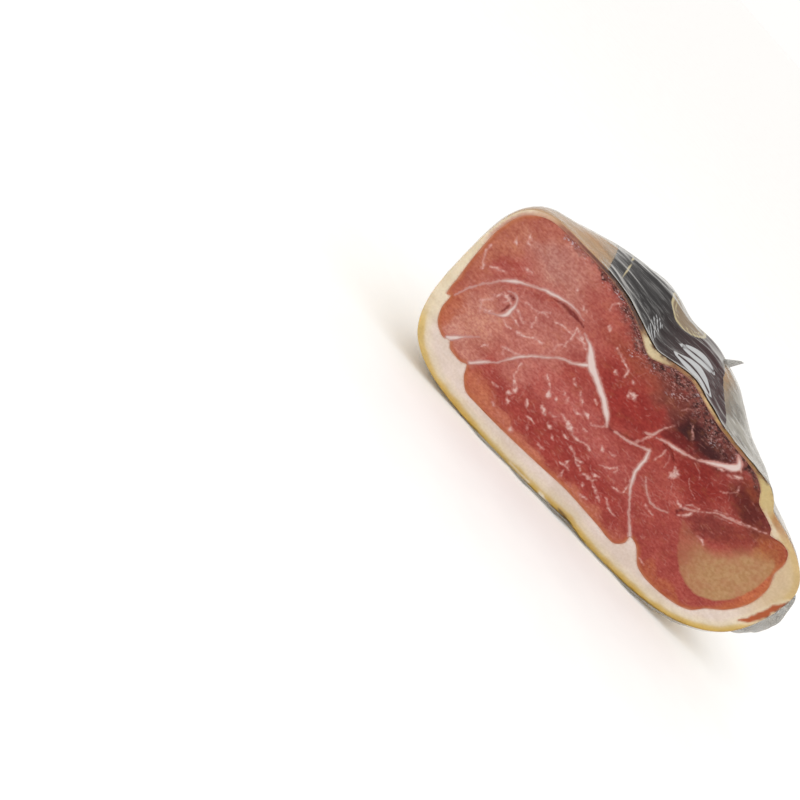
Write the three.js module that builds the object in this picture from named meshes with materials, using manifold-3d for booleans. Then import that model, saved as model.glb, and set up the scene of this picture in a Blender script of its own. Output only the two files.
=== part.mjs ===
// Half of a boneless dry-cured ham, cut lengthwise, in its tight clear and printed film.
// Millimetres, +Z up. The half stands on its rind side, as it rests on a counter: the cut
// face looks along -Y, the wide butt end lies at -X and the narrow shank end at +X.
// Three pieces, one inside the other: the lean meat, the fat that wraps it, and the film.

import * as THREE from 'three';
import { mergeVertices } from 'three/addons/utils/BufferGeometryUtils.js';
import Module from 'manifold-3d';

const wasm = await Module();
wasm.setup();

// Driving sizes of the ham
const HAM_DEPTH = 118;         // cut face to the rounded back
const BACK_FAT = 9;            // fat between the lean and the back
const CRUST = 2.2;             // dried fat and crust over the lean on the label side
const REST_Z = -71.0;          // level of the small flat that the rind side rests on
const MIDDLE = [14, -2];       // x, z of the line that the rounded back closes on
const RIND_POWER = [8, 2.5];   // the rind side stays flat far back, then turns up
const LABEL_POWER = [3.4, 2.2]; // the label side is a softer dome
const END_POWER = [2, 2];      // both ends are plain round

// Low swellings of the pressed ham: their height, wavelengths, the depth at which they are
// full, and the share of them left on the flattened rind side
const LUMPS = { height: 1.3, along: 21, across: 24, slow: 37, drift: 17, depth: 30 };
const LUMPS_ON_RIND = 0.15;
const RIND_BAND = [-60, -20];  // heights under the middle line between which they fade

// How far the label side stands above its own cut edge, every SWELL_STEP along X
const SWELL_START = -150;
const SWELL_STEP = 30;
const SWELL = [0, 0, 7, 14, 22, 19, 20, 17, 3.5, 0, 0, 0];
const SWELL_DEPTH = 52;        // depth at which the swelling is full
const SWELL_FOOT = [8, 45];    // it fades out between these heights above the middle line

// The film
const GAP = 0.3;               // clear gap between touching pieces
const FILM = 0.9;              // film with its shrink folds, as one even wall

// The cut face
const SEAM_PROUD = 0.6;        // seam fat stands this far out of the drier lean
const SEAM_ROOT = 0.8;         // and is set this deep in it

// Fineness
const DEPTH_STEPS = 7;
const EDGE_STEPS = 2;          // steps between two points of an edge
const SOFTEN_PASSES = 5;       // deeper in, the edge's nicks and steps are smoothed away
const SOFTEN_DEPTH = 45;
const SAME_POINT = 1e-4;       // points closer than this are one

// The cut edge of the ham over its fat, x and z, from the shank end over the label side,
// down the butt end and back along the rind side.
const HAM_EDGE = [
  [179, -6], [176.5, 12], [168, 23], [152, 31.5], [133, 36.5], [120.5, 39.5], [114, 45],
  [105, 49.5], [90, 51], [70, 52.5], [48, 54.8], [30, 58.5], [15, 61.5], [0, 59.5],
  [-16, 56.2], [-30, 59.5], [-50, 65], [-72, 68.3], [-100, 68], [-122, 66.5], [-135, 61.5],
  [-142.5, 52], [-145.8, 38], [-146, 18], [-144.5, -4], [-142.5, -22], [-137, -40],
  [-127, -54], [-110, -63.5], [-88, -68.8], [-60, -71.2], [-25, -72.2], [10, -71],
  [38, -69], [55, -71.5], [85, -71.5], [115, -69.3], [140, -63.5], [158, -54], [170, -42],
  [176.5, -26],
];

// Where each muscle of the lean meets the fat, in the same turning sense. On the label
// side the lean simply lies CRUST below the edge, apart from a thick pocket of fat.
const BUTT_MUSCLE = [
  [-131, 60.5], [-139, 52.5], [-142.5, 40], [-142.3, 25], [-139.5, 5], [-137, -8],
  [-134.5, -19.5],
];
const HEEL_MUSCLE = [[-131.8, -18.6], [-130.3, -27], [-125, -37], [-114.5, -42]];
const EYE_MUSCLE = [[-110.5, -40], [-106, -44], [-94, -45]];
const ROUND_MUSCLE = [
  [-90.5, -43.5], [-86, -50], [-77, -57], [-68, -57.8], [-40, -57.6], [0, -55.5],
  [20, -54.3], [55, -55.8], [70, -56.3], [74.8, -50],
];
const SHANK_MUSCLE = [
  [73.5, -44.5], [82, -46.3], [93, -55], [106, -57.6], [130, -55], [142, -49.5],
  [147, -41.5], [156, -32], [162, -20], [163.5, -9], [161, 3], [155.5, 12], [154.5, 20],
  [149, 28], [140, 29.5], [131.5, 27.5],
];
const TIP_MUSCLE = [[128.5, 30.8], [117, 34.5], [108.5, 37], [102, 43.5]];
const LABEL_SIDE = { from: 96, to: -124, above: 40 };
const POCKET = { x: -17, width: 12, depth: 4 };

// Seam fat between the muscles on the cut face: x, z and half width along each seam.
const SEAMS = {
  arch: [
    [-130.5, -16, 1], [-127, -6, 1.3], [-121, 7, 1.4], [-112.5, 18.5, 2], [-98.5, 27.3, 1.5],
    [-90, 31.5, 1.9], [-76, 35.8, 1.4], [-62, 35, 0.5],
  ],
  main: [
    [-55, 29.8, 0.6], [-45, 25.5, 2], [-36, 18.5, 3.4], [-28, 15, 2.5], [-12, 8, 2.4],
    [-3, 2.5, 2.1], [3, -3, 0.7],
  ],
  branch: [
    [-38, 16, 2.2], [-43, 11.3, 1.1], [-52, 6.5, 0.9], [-61, -1.5, 0.9], [-71, -12.5, 1.1],
    [-78, -27, 0.7], [-84, -33.5, 1.2], [-90, -41, 1],
  ],
  link: [[9, -1.5, 0.8], [20, 1, 1], [28, 4.5, 0.8], [34, 7, 1.4]],
  second: [
    [33.5, 8, 1], [37, 0, 1.8], [40, -11, 1.7], [46.5, -20, 1.3], [58, -32, 0.7],
    [73, -44, 1.4],
  ],
  third: [
    [30, 16.5, 0.8], [42, 21, 1.4], [57, 25.5, 0.8], [67, 32, 1.9], [76, 37.5, 1.7],
    [80.5, 43, 1.9], [78, 48, 1.6],
  ],
  spur: [[22.5, 13.5, 0.6], [27, 17, 1], [27.5, 23, 0.6], [31, 31, 0.3]],
  loop: [[47, -7, 0.4], [53, -12.5, 0.7], [66, -17.3, 0.7], [76, -13, 0.5]],
  shank: [[81, -2, 0.5], [90, 4.5, 0.8], [103, 14, 1.1], [116, 20, 0.6], [129, 27, 0.9]],
  ring: [
    [-108, 13, 0.6], [-103, 14, 1.1], [-98.3, 8, 1.6], [-98, 0, 1.9], [-102, -4.5, 0.9],
    [-109, -9, 0.5],
  ],
  heel: [[-111, -39, 1.7], [-106, -32.5, 0.8], [-98.5, -23.5, 0.4]],
};
const SEAM_STEPS = 2;          // steps between two seam points
const LEAST_HALF = 0.25;
const STRAND_SIDES = 6;

// A drying crack beside the third seam: its ends, half width and depth
const CRACK = { path: [[36.5, 17.2, 0.4], [43, 17.2, 0.8], [50, 14.6, 0.4]], depth: 3 };

// Dried crumbs of crust in a band under the label edge of the lean: flat grains, each up to
// half a spread to either side of an edge point
const CRUMBS = { count: 34, from: 88, to: -112, below: 2, rows: 7, spread: 14, seed: 7 };
const CRUMB_SIZE = [0.7, 1.5];
const CRUMB_SHAPE = [1.5, 0.6, 0.9];

// Long folds of the film over the label side: x from, x to, and depth at both ends
const FOLDS = [
  [-70, 40, 9, 16], [-95, 20, 21, 27], [-60, 60, 31, 38], [-80, 10, 44, 48],
  [-30, 70, 58, 52], [-90, -10, 66, 70],
];
const FOLD = { points: 9, height: 1.1, root: 0.3, ends: 0.6, widening: 1.6, sway: 2.5 };

// Pinched corner of film that stands up on the label side
const CORNER = { x: 34, depth: 46, height: 8, half: 5, thick: 0.8, foot: 0.5 };

// Gathered end of the film past the shank: its zigzag edge at the cut, and how far back
const TAIL_EDGE = [
  [176, 12], [182.5, 9], [181, 3.5], [185.5, 1], [184, -5], [187.5, -10], [185, -17],
  [186.5, -24], [180.5, -30], [176, -37], [171, -36], [172, 8],
];
// The tail's sections: depth, size as a share of the front, and how far it draws in
const TAIL_SECTIONS = [[0, 1, 0], [23, 0.8, 5], [46, 0.45, 13]];
const TAIL_TIP = { depth: 49, drawn: 30 };

const COLOURS = { lean: 0xa4453c, fat: 0xe6d3b4, film: 0x55504e };

function random(seed) {
  let state = seed;
  return () => {
    state = (state * 16807) % 2147483647;
    return state / 2147483647;
  };
}

function ramp(from, to, value) {
  return THREE.MathUtils.smoothstep(value, from, to);
}

function curveThrough(points, steps, closed) {
  const curve = new THREE.CatmullRomCurve3(
    points.map(([x, z, w = 0]) => new THREE.Vector3(x, w, z)), closed, 'centripetal');
  const spans = closed ? points.length : points.length - 1;
  const samples = curve.getPoints(spans * steps);
  if (closed) samples.pop();
  return samples.map((p) => ({ x: p.x, z: p.z, half: p.y }));
}

function insetOf(outline, index, distance) {
  const before = outline[(index + outline.length - 1) % outline.length];
  const after = outline[(index + 1) % outline.length];
  const along = new THREE.Vector2(after.x - before.x, after.z - before.z).normalize();
  const { x, z } = outline[index];
  return [x - along.y * distance, z + along.x * distance];
}

// The lean comes within CRUST of the edge along the label side, less at the pocket.
function labelSideOfLean(outline) {
  const points = [];
  outline.forEach((p, index) => {
    const { from, to, above } = LABEL_SIDE;
    const onLabelSide = p.z > above && p.x < from && p.x > to;
    if (!onLabelSide || index % EDGE_STEPS) return;
    const pocket = POCKET.depth * Math.exp(-(((p.x - POCKET.x) / POCKET.width) ** 2));
    points.push(insetOf(outline, index, CRUST + pocket));
  });
  return points;
}

function swelling(x) {
  const place = (x - SWELL_START) / SWELL_STEP;
  const index = THREE.MathUtils.clamp(Math.floor(place), 1, SWELL.length - 3);
  const heights = SWELL.slice(index - 1, index + 3);
  const t = THREE.MathUtils.clamp(place - index, 0, 1);
  const [a, b, c, d] = heights;
  return b + 0.5 * t * (c - a + t * (2 * a - 5 * b + 4 * c - d + t * (3 * (b - c) + d - a)));
}

function profile(share, [flatness, roundness]) {
  return Math.max(0, 1 - share ** flatness) ** (1 / roundness);
}

function lump(x, y, dz, share) {
  const onSide = THREE.MathUtils.lerp(LUMPS_ON_RIND, 1, ramp(...RIND_BAND, dz));
  const waves = Math.sin(x / LUMPS.along) * Math.cos(y / LUMPS.across)
    + Math.sin(x / LUMPS.slow - y / LUMPS.drift) / 2;
  return LUMPS.height * waves * onSide * ramp(0, LUMPS.depth, y) * (1 - share ** 4);
}

// Moves an edge point to its place at a share of the depth, on the ham's round body.
function bodyPoint(p, share, depth) {
  const [midX, midZ] = MIDDLE;
  const y = share * depth;
  const dx = p.x - midX;
  const dz = p.z - midZ;
  const foot = ramp(SWELL_FOOT[0], SWELL_FOOT[1], dz);
  const raised = dz + swelling(p.x) * foot * ramp(0, SWELL_DEPTH, y);
  const x = midX + dx * profile(share, END_POWER);
  const z = midZ + raised * profile(share, dz > 0 ? LABEL_POWER : RIND_POWER);
  const out = new THREE.Vector2(dx, dz).normalize().multiplyScalar(lump(x, y, dz, share));
  return new THREE.Vector3(x + out.x, y, Math.max(z + out.y, REST_Z));
}

function softened(outline) {
  let soft = outline;
  for (let pass = 0; pass < SOFTEN_PASSES; pass += 1) {
    soft = soft.map((p, index) => {
      const before = soft[(index + soft.length - 1) % soft.length];
      const after = soft[(index + 1) % soft.length];
      return { x: (before.x + 2 * p.x + after.x) / 4, z: (before.z + 2 * p.z + after.z) / 4 };
    });
  }
  return soft;
}

function bodyRings(outline, depth) {
  const soft = softened(outline);
  const rings = [];
  for (let step = 0; step < DEPTH_STEPS; step += 1) {
    const share = Math.sin((step / DEPTH_STEPS) * Math.PI / 2);
    const blend = ramp(0, SOFTEN_DEPTH, share * depth);
    rings.push(outline.map((p, index) => bodyPoint({
      x: THREE.MathUtils.lerp(p.x, soft[index].x, blend),
      z: THREE.MathUtils.lerp(p.z, soft[index].z, blend),
    }, share, depth)));
  }
  return { rings, pole: new THREE.Vector3(MIDDLE[0], depth, MIDDLE[1]) };
}

// Pushes a ringed surface out by an even distance, keeping its front edge in the cut.
function offset({ rings, pole }, distance) {
  const moved = rings.map((ring, level) => ring.map((p, index) => {
    const count = ring.length;
    const next = ring[(index + 1) % count];
    const last = ring[(index + count - 1) % count];
    const behind = level + 1 < rings.length ? rings[level + 1][index] : pole;
    const ahead = level > 0 ? rings[level - 1][index] : p;
    const normal = new THREE.Vector3().subVectors(behind, ahead)
      .cross(new THREE.Vector3().subVectors(next, last));
    if (level === 0) normal.y = 0;
    return p.clone().addScaledVector(normal.normalize(), distance);
  }));
  return { rings: moved, pole: pole.clone().setY(pole.y + distance) };
}

function skinTriangles({ rings, pole }, inward = false) {
  const triangles = [];
  const add = (a, b, c) => triangles.push(inward ? [a, c, b] : [a, b, c]);
  rings.forEach((ring, level) => {
    const behind = rings[level + 1];
    ring.forEach((p, index) => {
      const q = ring[(index + 1) % ring.length];
      if (!behind) {
        add(p, pole, q);
        return;
      }
      const r = behind[(index + 1) % ring.length];
      const s = behind[index];
      add(p, r, q);
      add(p, s, r);
    });
  });
  return triangles;
}

// The flat face at the cut, between an outer ring and, for a shell, an inner one.
function cutTriangles(outer, inner) {
  const flat = (ring) => ring.map((p) => new THREE.Vector2(p.x, p.z));
  const holes = inner ? [flat(inner)] : [];
  const points = inner ? [...outer, ...inner] : outer;
  return THREE.ShapeUtils.triangulateShape(flat(outer), holes).map((face) => {
    const [a, b, c] = face.map((index) => points[index]);
    const turn = (b.x - a.x) * (c.z - a.z) - (b.z - a.z) * (c.x - a.x);
    return turn > 0 ? [a, b, c] : [a, c, b];
  });
}

function geometryOf(triangles) {
  const geometry = new THREE.BufferGeometry().setFromPoints(triangles.flat());
  return mergeVertices(geometry, SAME_POINT);
}

function solidOf(geometry) {
  const bare = geometry.clone();
  bare.deleteAttribute('normal');
  bare.deleteAttribute('uv');
  const merged = mergeVertices(bare, SAME_POINT);
  return new wasm.Manifold(new wasm.Mesh({
    numProp: 3,
    vertProperties: new Float32Array(merged.attributes.position.array),
    triVerts: new Uint32Array(merged.index.array),
  }));
}

function geometryFrom(solid) {
  const { vertProperties, triVerts } = solid.getMesh();
  const geometry = new THREE.BufferGeometry();
  geometry.setAttribute('position', new THREE.BufferAttribute(vertProperties, 3));
  geometry.setIndex(new THREE.BufferAttribute(triVerts, 1));
  return geometry;
}

// A strand with pointed ends: an oval section, half wide and high, along a path of
// { centre, side, up, half, high, root }.
function strand(path) {
  const rings = path.map(({ centre, side, up, half, high, root }) => {
    const ring = [];
    for (let corner = 0; corner < STRAND_SIDES; corner += 1) {
      const turn = (corner / STRAND_SIDES) * Math.PI * 2;
      const lift = Math.sin(turn);
      ring.push(centre.clone()
        .addScaledVector(side, Math.cos(turn) * half)
        .addScaledVector(up, lift > 0 ? lift * high : lift * root));
    }
    return ring;
  });
  const triangles = [];
  const first = path[0].centre;
  const last = path[path.length - 1].centre;
  const around = (ring, visit) => ring.forEach((p, corner) => {
    visit(p, ring[(corner + 1) % STRAND_SIDES], corner);
  });
  around(rings[0], (p, q) => triangles.push([first, q, p]));
  rings.slice(0, -1).forEach((ring, level) => around(ring, (p, q, corner) => {
    const r = rings[level + 1][(corner + 1) % STRAND_SIDES];
    const s = rings[level + 1][corner];
    triangles.push([p, q, r], [p, r, s]);
  }));
  around(rings[rings.length - 1], (p, q) => triangles.push([last, p, q]));
  return solidOf(geometryOf(triangles));
}

// A strand lying on the cut face, from x, z and half widths.
function seamStrand(points, steps, high, root) {
  const samples = curveThrough(points, steps, false);
  const path = samples.map((p, index) => {
    const next = samples[Math.min(index + 1, samples.length - 1)];
    const last = samples[Math.max(index - 1, 0)];
    const along = new THREE.Vector3(next.x - last.x, 0, next.z - last.z).normalize();
    const up = new THREE.Vector3(0, -1, 0);
    return {
      centre: new THREE.Vector3(p.x, 0, p.z),
      side: new THREE.Vector3().crossVectors(up, along),
      up,
      half: Math.max(p.half, LEAST_HALF),
      high,
      root,
    };
  });
  return strand(path);
}

function joinAll(solids) {
  return solids.reduce((whole, next) => whole.add(next));
}

// Dried crumbs stand half out of the face in a band under the label edge.
function crustCrumbs(edge) {
  const draw = random(CRUMBS.seed);
  const along = edge.filter(([x]) => x < CRUMBS.from && x > CRUMBS.to);
  const crumbs = [];
  for (let n = 0; n < CRUMBS.count; n += 1) {
    const [x, z] = along[Math.floor(draw() * along.length)];
    const crumb = new THREE.IcosahedronGeometry(THREE.MathUtils.lerp(...CRUMB_SIZE, draw()), 0);
    crumb.scale(...CRUMB_SHAPE);
    crumb.rotateY(draw() * Math.PI);
    const aside = (draw() - 0.5) * CRUMBS.spread;
    crumb.translate(x + aside, 0, z - CRUMBS.below - draw() * CRUMBS.rows);
    crumbs.push(solidOf(crumb));
  }
  return crumbs;
}

function makeLean(leanSurface, leanEdge) {
  const body = solidOf(geometryOf([
    ...skinTriangles(leanSurface),
    ...cutTriangles(leanSurface.rings[0]),
  ]));
  const seams = Object.values(SEAMS)
    .map((points) => seamStrand(points, SEAM_STEPS, SEAM_PROUD, SEAM_ROOT));
  const face = leanSurface.rings[0].map((p) => new THREE.Vector2(p.x, p.z));
  const slab = new THREE.ExtrudeGeometry(new THREE.Shape(face), {
    depth: 2 * (SEAM_PROUD + SEAM_ROOT),
    bevelEnabled: false,
  });
  slab.rotateX(Math.PI / 2);
  slab.translate(0, SEAM_ROOT, 0);
  const relief = joinAll([...seams, ...crustCrumbs(leanEdge)]).intersect(solidOf(slab));
  const crack = seamStrand(CRACK.path, SEAM_STEPS, SEAM_PROUD, CRACK.depth);
  return geometryFrom(body.add(relief).subtract(crack));
}

function makeFat(hamSurface, leanSurface) {
  const cavity = offset(leanSurface, GAP);
  return geometryOf([
    ...skinTriangles(hamSurface),
    ...skinTriangles(cavity, true),
    ...cutTriangles(hamSurface.rings[0], cavity.rings[0]),
  ]);
}

// The height of a ring's upper side at x, between its two nearest points.
function upperHeight(ring, x) {
  for (let index = 0; index < ring.length; index += 1) {
    const p = ring[index];
    const q = ring[(index + 1) % ring.length];
    if (p.z > 0 && p.x >= x && q.x < x) {
      return THREE.MathUtils.lerp(p.z, q.z, (p.x - x) / (p.x - q.x));
    }
  }
  return MIDDLE[1];
}

// A point of the ham's label side, at x and a depth.
function labelSidePoint({ rings }, x, depth) {
  const level = rings.findIndex((ring) => ring[0].y > depth);
  const front = rings[level - 1];
  const back = rings[level];
  const share = (depth - front[0].y) / (back[0].y - front[0].y);
  const z = THREE.MathUtils.lerp(upperHeight(front, x), upperHeight(back, x), share);
  return new THREE.Vector3(x, depth, z);
}

function filmFold(surface, [from, to, depthFrom, depthTo]) {
  const spots = [];
  for (let n = 0; n < FOLD.points; n += 1) {
    const t = n / (FOLD.points - 1);
    const x = THREE.MathUtils.lerp(from, to, t);
    const sway = FOLD.sway * Math.sin(2 * Math.PI * t + from);
    const depth = THREE.MathUtils.lerp(depthFrom, depthTo, t) + sway;
    spots.push(labelSidePoint(surface, x, depth));
  }
  const path = spots.map((centre, n) => {
    const next = spots[Math.min(n + 1, spots.length - 1)];
    const last = spots[Math.max(n - 1, 0)];
    const along = new THREE.Vector3().subVectors(next, last).normalize();
    const side = new THREE.Vector3().crossVectors(new THREE.Vector3(0, 0, 1), along).normalize();
    const up = new THREE.Vector3().crossVectors(along, side);
    return {
      centre: centre.addScaledVector(up, GAP + FILM - FOLD.root),
      side,
      up,
      half: FOLD.ends + FOLD.widening * Math.sin((Math.PI * n) / (FOLD.points - 1)),
      high: FOLD.height + FOLD.root,
      root: FOLD.root,
    };
  });
  return strand(path);
}

function filmCorner(surface) {
  const foot = labelSidePoint(surface, CORNER.x, CORNER.depth);
  const { height, half, thick, foot: low } = CORNER;
  const outline = new THREE.Shape([
    new THREE.Vector2(-half, low), new THREE.Vector2(half, low),
    new THREE.Vector2(half, height), new THREE.Vector2(half / 2, height - thick),
  ]);
  const fin = new THREE.ExtrudeGeometry(outline, { depth: thick, bevelEnabled: false });
  fin.rotateX(Math.PI / 2);
  fin.translate(foot.x, foot.y, foot.z);
  return solidOf(fin);
}

function filmTail() {
  const outline = TAIL_EDGE.map(([x, z]) => ({ x, z }));
  const centre = outline.reduce((sum, p) => [sum[0] + p.x, sum[1] + p.z], [0, 0])
    .map((total) => total / outline.length);
  const rings = TAIL_SECTIONS.map(([y, scale, drawn]) => outline.map((p) => new THREE.Vector3(
    centre[0] + (p.x - centre[0]) * scale - drawn,
    y,
    centre[1] + (p.z - centre[1]) * scale,
  )).reverse());
  const pole = new THREE.Vector3(centre[0] - TAIL_TIP.drawn, TAIL_TIP.depth, centre[1]);
  return solidOf(geometryOf([
    ...skinTriangles({ rings, pole }),
    ...cutTriangles(rings[0]),
  ]));
}

function makeFilm(hamSurface) {
  const inside = offset(hamSurface, GAP);
  const outside = offset(hamSurface, GAP + FILM);
  const cup = solidOf(geometryOf([
    ...skinTriangles(outside),
    ...skinTriangles(inside, true),
    ...cutTriangles(outside.rings[0], inside.rings[0]),
  ]));
  const food = solidOf(geometryOf([
    ...skinTriangles(inside),
    ...cutTriangles(inside.rings[0]),
  ]));
  const extras = joinAll([
    ...FOLDS.map((fold) => filmFold(hamSurface, fold)), filmCorner(hamSurface), filmTail(),
  ]);
  return geometryFrom(cup.add(extras.subtract(food)));
}

function meshNamed(name, geometry, colour, roughness) {
  geometry.computeVertexNormals();
  const material = new THREE.MeshStandardMaterial({ color: colour, roughness, metalness: 0 });
  const mesh = new THREE.Mesh(geometry, material);
  mesh.name = name;
  return mesh;
}

const hamEdge = curveThrough(HAM_EDGE, EDGE_STEPS, true);
const labelSide = labelSideOfLean(hamEdge);
const leanPoints = [
  ...labelSide, ...BUTT_MUSCLE, ...HEEL_MUSCLE, ...EYE_MUSCLE, ...ROUND_MUSCLE,
  ...SHANK_MUSCLE, ...TIP_MUSCLE,
];
const leanEdge = curveThrough(leanPoints, EDGE_STEPS, true);
const hamSurface = bodyRings(hamEdge, HAM_DEPTH);
const leanSurface = bodyRings(leanEdge, HAM_DEPTH - BACK_FAT);

const ham = new THREE.Group();
ham.add(
  meshNamed('lean_meat', makeLean(leanSurface, labelSide), COLOURS.lean, 0.45),
  meshNamed('fat_cover', makeFat(hamSurface, leanSurface), COLOURS.fat, 0.5),
  meshNamed('bag_film', makeFilm(hamSurface), COLOURS.film, 0.2),
);

// The origin is the middle of the floor under the half ham.
const box = new THREE.Box3().setFromObject(ham);
const centre = box.getCenter(new THREE.Vector3());
ham.position.set(-centre.x, -centre.y, -box.min.z);

export default ham;
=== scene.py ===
import math
import random

import bpy
import numpy as np
from mathutils import Matrix, Vector, noise
from mathutils.geometry import delaunay_2d_cdt
from mathutils.kdtree import KDTree


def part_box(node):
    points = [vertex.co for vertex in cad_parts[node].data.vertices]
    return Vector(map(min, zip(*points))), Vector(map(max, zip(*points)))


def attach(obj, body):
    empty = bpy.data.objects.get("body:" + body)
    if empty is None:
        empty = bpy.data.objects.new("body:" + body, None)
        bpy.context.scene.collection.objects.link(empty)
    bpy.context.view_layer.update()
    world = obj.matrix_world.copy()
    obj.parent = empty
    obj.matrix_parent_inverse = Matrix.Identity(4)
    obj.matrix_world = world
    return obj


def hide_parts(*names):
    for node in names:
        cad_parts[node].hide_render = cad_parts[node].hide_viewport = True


# Half of a boneless dry-cured ham, cut lengthwise, in its tight clear and printed film.
# Shapes are worked out in the face's own millimetres: x runs to the shank end, z up to the
# label side, and y back from the cut. mesh_piece() moves them to the frame's metres.

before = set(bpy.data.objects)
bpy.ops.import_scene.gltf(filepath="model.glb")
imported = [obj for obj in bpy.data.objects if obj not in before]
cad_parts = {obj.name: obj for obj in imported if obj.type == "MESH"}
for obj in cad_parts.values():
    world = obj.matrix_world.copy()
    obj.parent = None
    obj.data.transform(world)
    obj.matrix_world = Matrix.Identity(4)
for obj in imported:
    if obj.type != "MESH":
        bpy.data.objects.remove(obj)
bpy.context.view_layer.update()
scene = bpy.context.scene

MM = 0.001
FAR = 99.0                     # stands for out of reach, mm

# The ham's body, the same driving sizes as the solids have
HAM_DEPTH = 118
LEAN_DEPTH = 109
CRUST = 2.2
REST_Z = -71.0
MIDDLE = (14, -2)              # x and z that the rings close to at the back
RIND_POWER = (8, 2.5)          # how each side rounds off with depth
LABEL_POWER = (3.4, 2.2)
END_POWER = (2, 2)
LUMPS = {"height": 1.3, "along": 21, "across": 24, "slow": 37, "drift": 17, "depth": 30}
LUMPS_ON_RIND = 0.15           # the rind side is smoother than the rest
RIND_BAND = (-60, -20)
# How far the label side swells up behind the cut, at each step of x
SWELL_START = -150
SWELL_STEP = 30
SWELL = np.array([0, 0, 7, 14, 22, 19, 20, 17, 3.5, 0, 0, 0])
SWELL_DEPTH = 52
SWELL_FOOT = (8, 45)
EDGE_STEPS = 2
SOFTEN_PASSES = 5
SOFTEN_DEPTH = 45              # the outline loses its corners over this depth
FILM_BACK = 1.2                # the film's outer side stands this far off the ham
TAIL_REACH = 187.5             # x of the film's gathered end

HAM_EDGE = [
    (179, -6), (176.5, 12), (168, 23), (152, 31.5), (133, 36.5), (120.5, 39.5), (114, 45),
    (105, 49.5), (90, 51), (70, 52.5), (48, 54.8), (30, 58.5), (15, 61.5), (0, 59.5),
    (-16, 56.2), (-30, 59.5), (-50, 65), (-72, 68.3), (-100, 68), (-122, 66.5), (-135, 61.5),
    (-142.5, 52), (-145.8, 38), (-146, 18), (-144.5, -4), (-142.5, -22), (-137, -40),
    (-127, -54), (-110, -63.5), (-88, -68.8), (-60, -71.2), (-25, -72.2), (10, -71),
    (38, -69), (55, -71.5), (85, -71.5), (115, -69.3), (140, -63.5), (158, -54), (170, -42),
    (176.5, -26),
]
BUTT_MUSCLE = [
    (-131, 60.5), (-139, 52.5), (-142.5, 40), (-142.3, 25), (-139.5, 5), (-137, -8),
    (-134.5, -19.5),
]
HEEL_MUSCLE = [(-131.8, -18.6), (-130.3, -27), (-125, -37), (-114.5, -42)]
EYE_MUSCLE = [(-110.5, -40), (-106, -44), (-94, -45)]
ROUND_MUSCLE = [
    (-90.5, -43.5), (-86, -50), (-77, -57), (-68, -57.8), (-40, -57.6), (0, -55.5),
    (20, -54.3), (55, -55.8), (70, -56.3), (74.8, -50),
]
SHANK_MUSCLE = [
    (73.5, -44.5), (82, -46.3), (93, -55), (106, -57.6), (130, -55), (142, -49.5),
    (147, -41.5), (156, -32), (162, -20), (163.5, -9), (161, 3), (155.5, 12), (154.5, 20),
    (149, 28), (140, 29.5), (131.5, 27.5),
]
TIP_MUSCLE = [(128.5, 30.8), (117, 34.5), (108.5, 37), (102, 43.5)]
# The lean follows the ham's edge between these x, but for a pocket of fat that dips into it
LABEL_SIDE = {"from": 96, "to": -124, "above": 40}
POCKET = {"x": -17, "width": 12, "depth": 4}

# Seam fat between the muscles: x, z and half width along each seam
SEAMS = {
    "arch": [
        (-130.5, -16, 0.6), (-127.5, -6, 0.8), (-121, 7, 0.8), (-116, 14, 1.1),
        (-111.5, 19, 1.7), (-99, 27, 1), (-90, 31.5, 1.7), (-76, 35.8, 1.2), (-62, 35, 0.3),
    ],
    "main": [
        (-55, 29.8, 0.6), (-45, 25.5, 2), (-36, 18.5, 3.4), (-28, 15, 2.5), (-12, 8, 2.4),
        (-3, 2.5, 2.1), (3, -3, 0.7),
    ],
    "branch": [
        (-38, 16, 2.2), (-43, 11.3, 1.3), (-52, 6.5, 1), (-61, -1.5, 1.1), (-71, -12.5, 1.5),
        (-78, -27, 0.8), (-84, -33.5, 1.5), (-90, -41, 1.6),
    ],
    "link": [(9, -1.5, 0.8), (20, 1, 1), (28, 4.5, 0.8), (34, 7, 1.4)],
    "second": [
        (33.5, 8, 1), (37, 0, 1.8), (40, -11, 1.7), (46.5, -20, 1.3), (58, -32, 0.7),
        (73, -44, 1.4),
    ],
    "third": [
        (30, 16.5, 0.6), (36, 19.5, 0.9), (43, 21, 1.6), (57, 25.5, 0.6), (64, 30, 1.3),
        (70, 34.5, 1.9), (75.5, 38, 2.5), (79.3, 41.5, 3.1), (79.3, 44.6, 2.4),
        (76.5, 47, 1.4), (73.2, 48.6, 0.5),
    ],
    "horn": [(79, 43.8, 1.8), (82, 43.2, 1.1), (84.6, 42.2, 0.3)],
    "spur": [(22.5, 13.5, 0.6), (27, 17, 1), (27.5, 23, 0.6), (31, 31, 0.3)],
    "loop": [(47, -7, 0.4), (53, -12.5, 0.7), (66, -17.3, 0.7), (76, -13, 0.5)],
    "shank": [
        (80.5, -2.5, 0.3), (86, 1, 0.6), (90, 4.5, 0.3), (98, 12, 0.6), (104, 14.5, 0.8),
        (116, 19.5, 0.1), (122, 23, 0.4), (129, 27, 0.4),
    ],
    "ring": [
        (-109, 11.5, 0.3), (-106.5, 13.2, 0.7), (-102.5, 13.8, 0.9), (-99, 9.5, 1.2),
        (-98.2, 4, 1.9), (-98.5, -0.5, 1.8), (-101.5, -4.3, 0.9), (-109, -9, 0.4),
    ],
    "heel": [(-112, -40, 2.6), (-109, -36, 1.9), (-105.5, -32, 1.2), (-98.5, -23.5, 0.6)],
}
SEAM_STEPS = 4
CRACK = [(36.5, 17.2, 0.4), (43, 17.2, 0.8), (50, 14.6, 0.4)]

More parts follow.
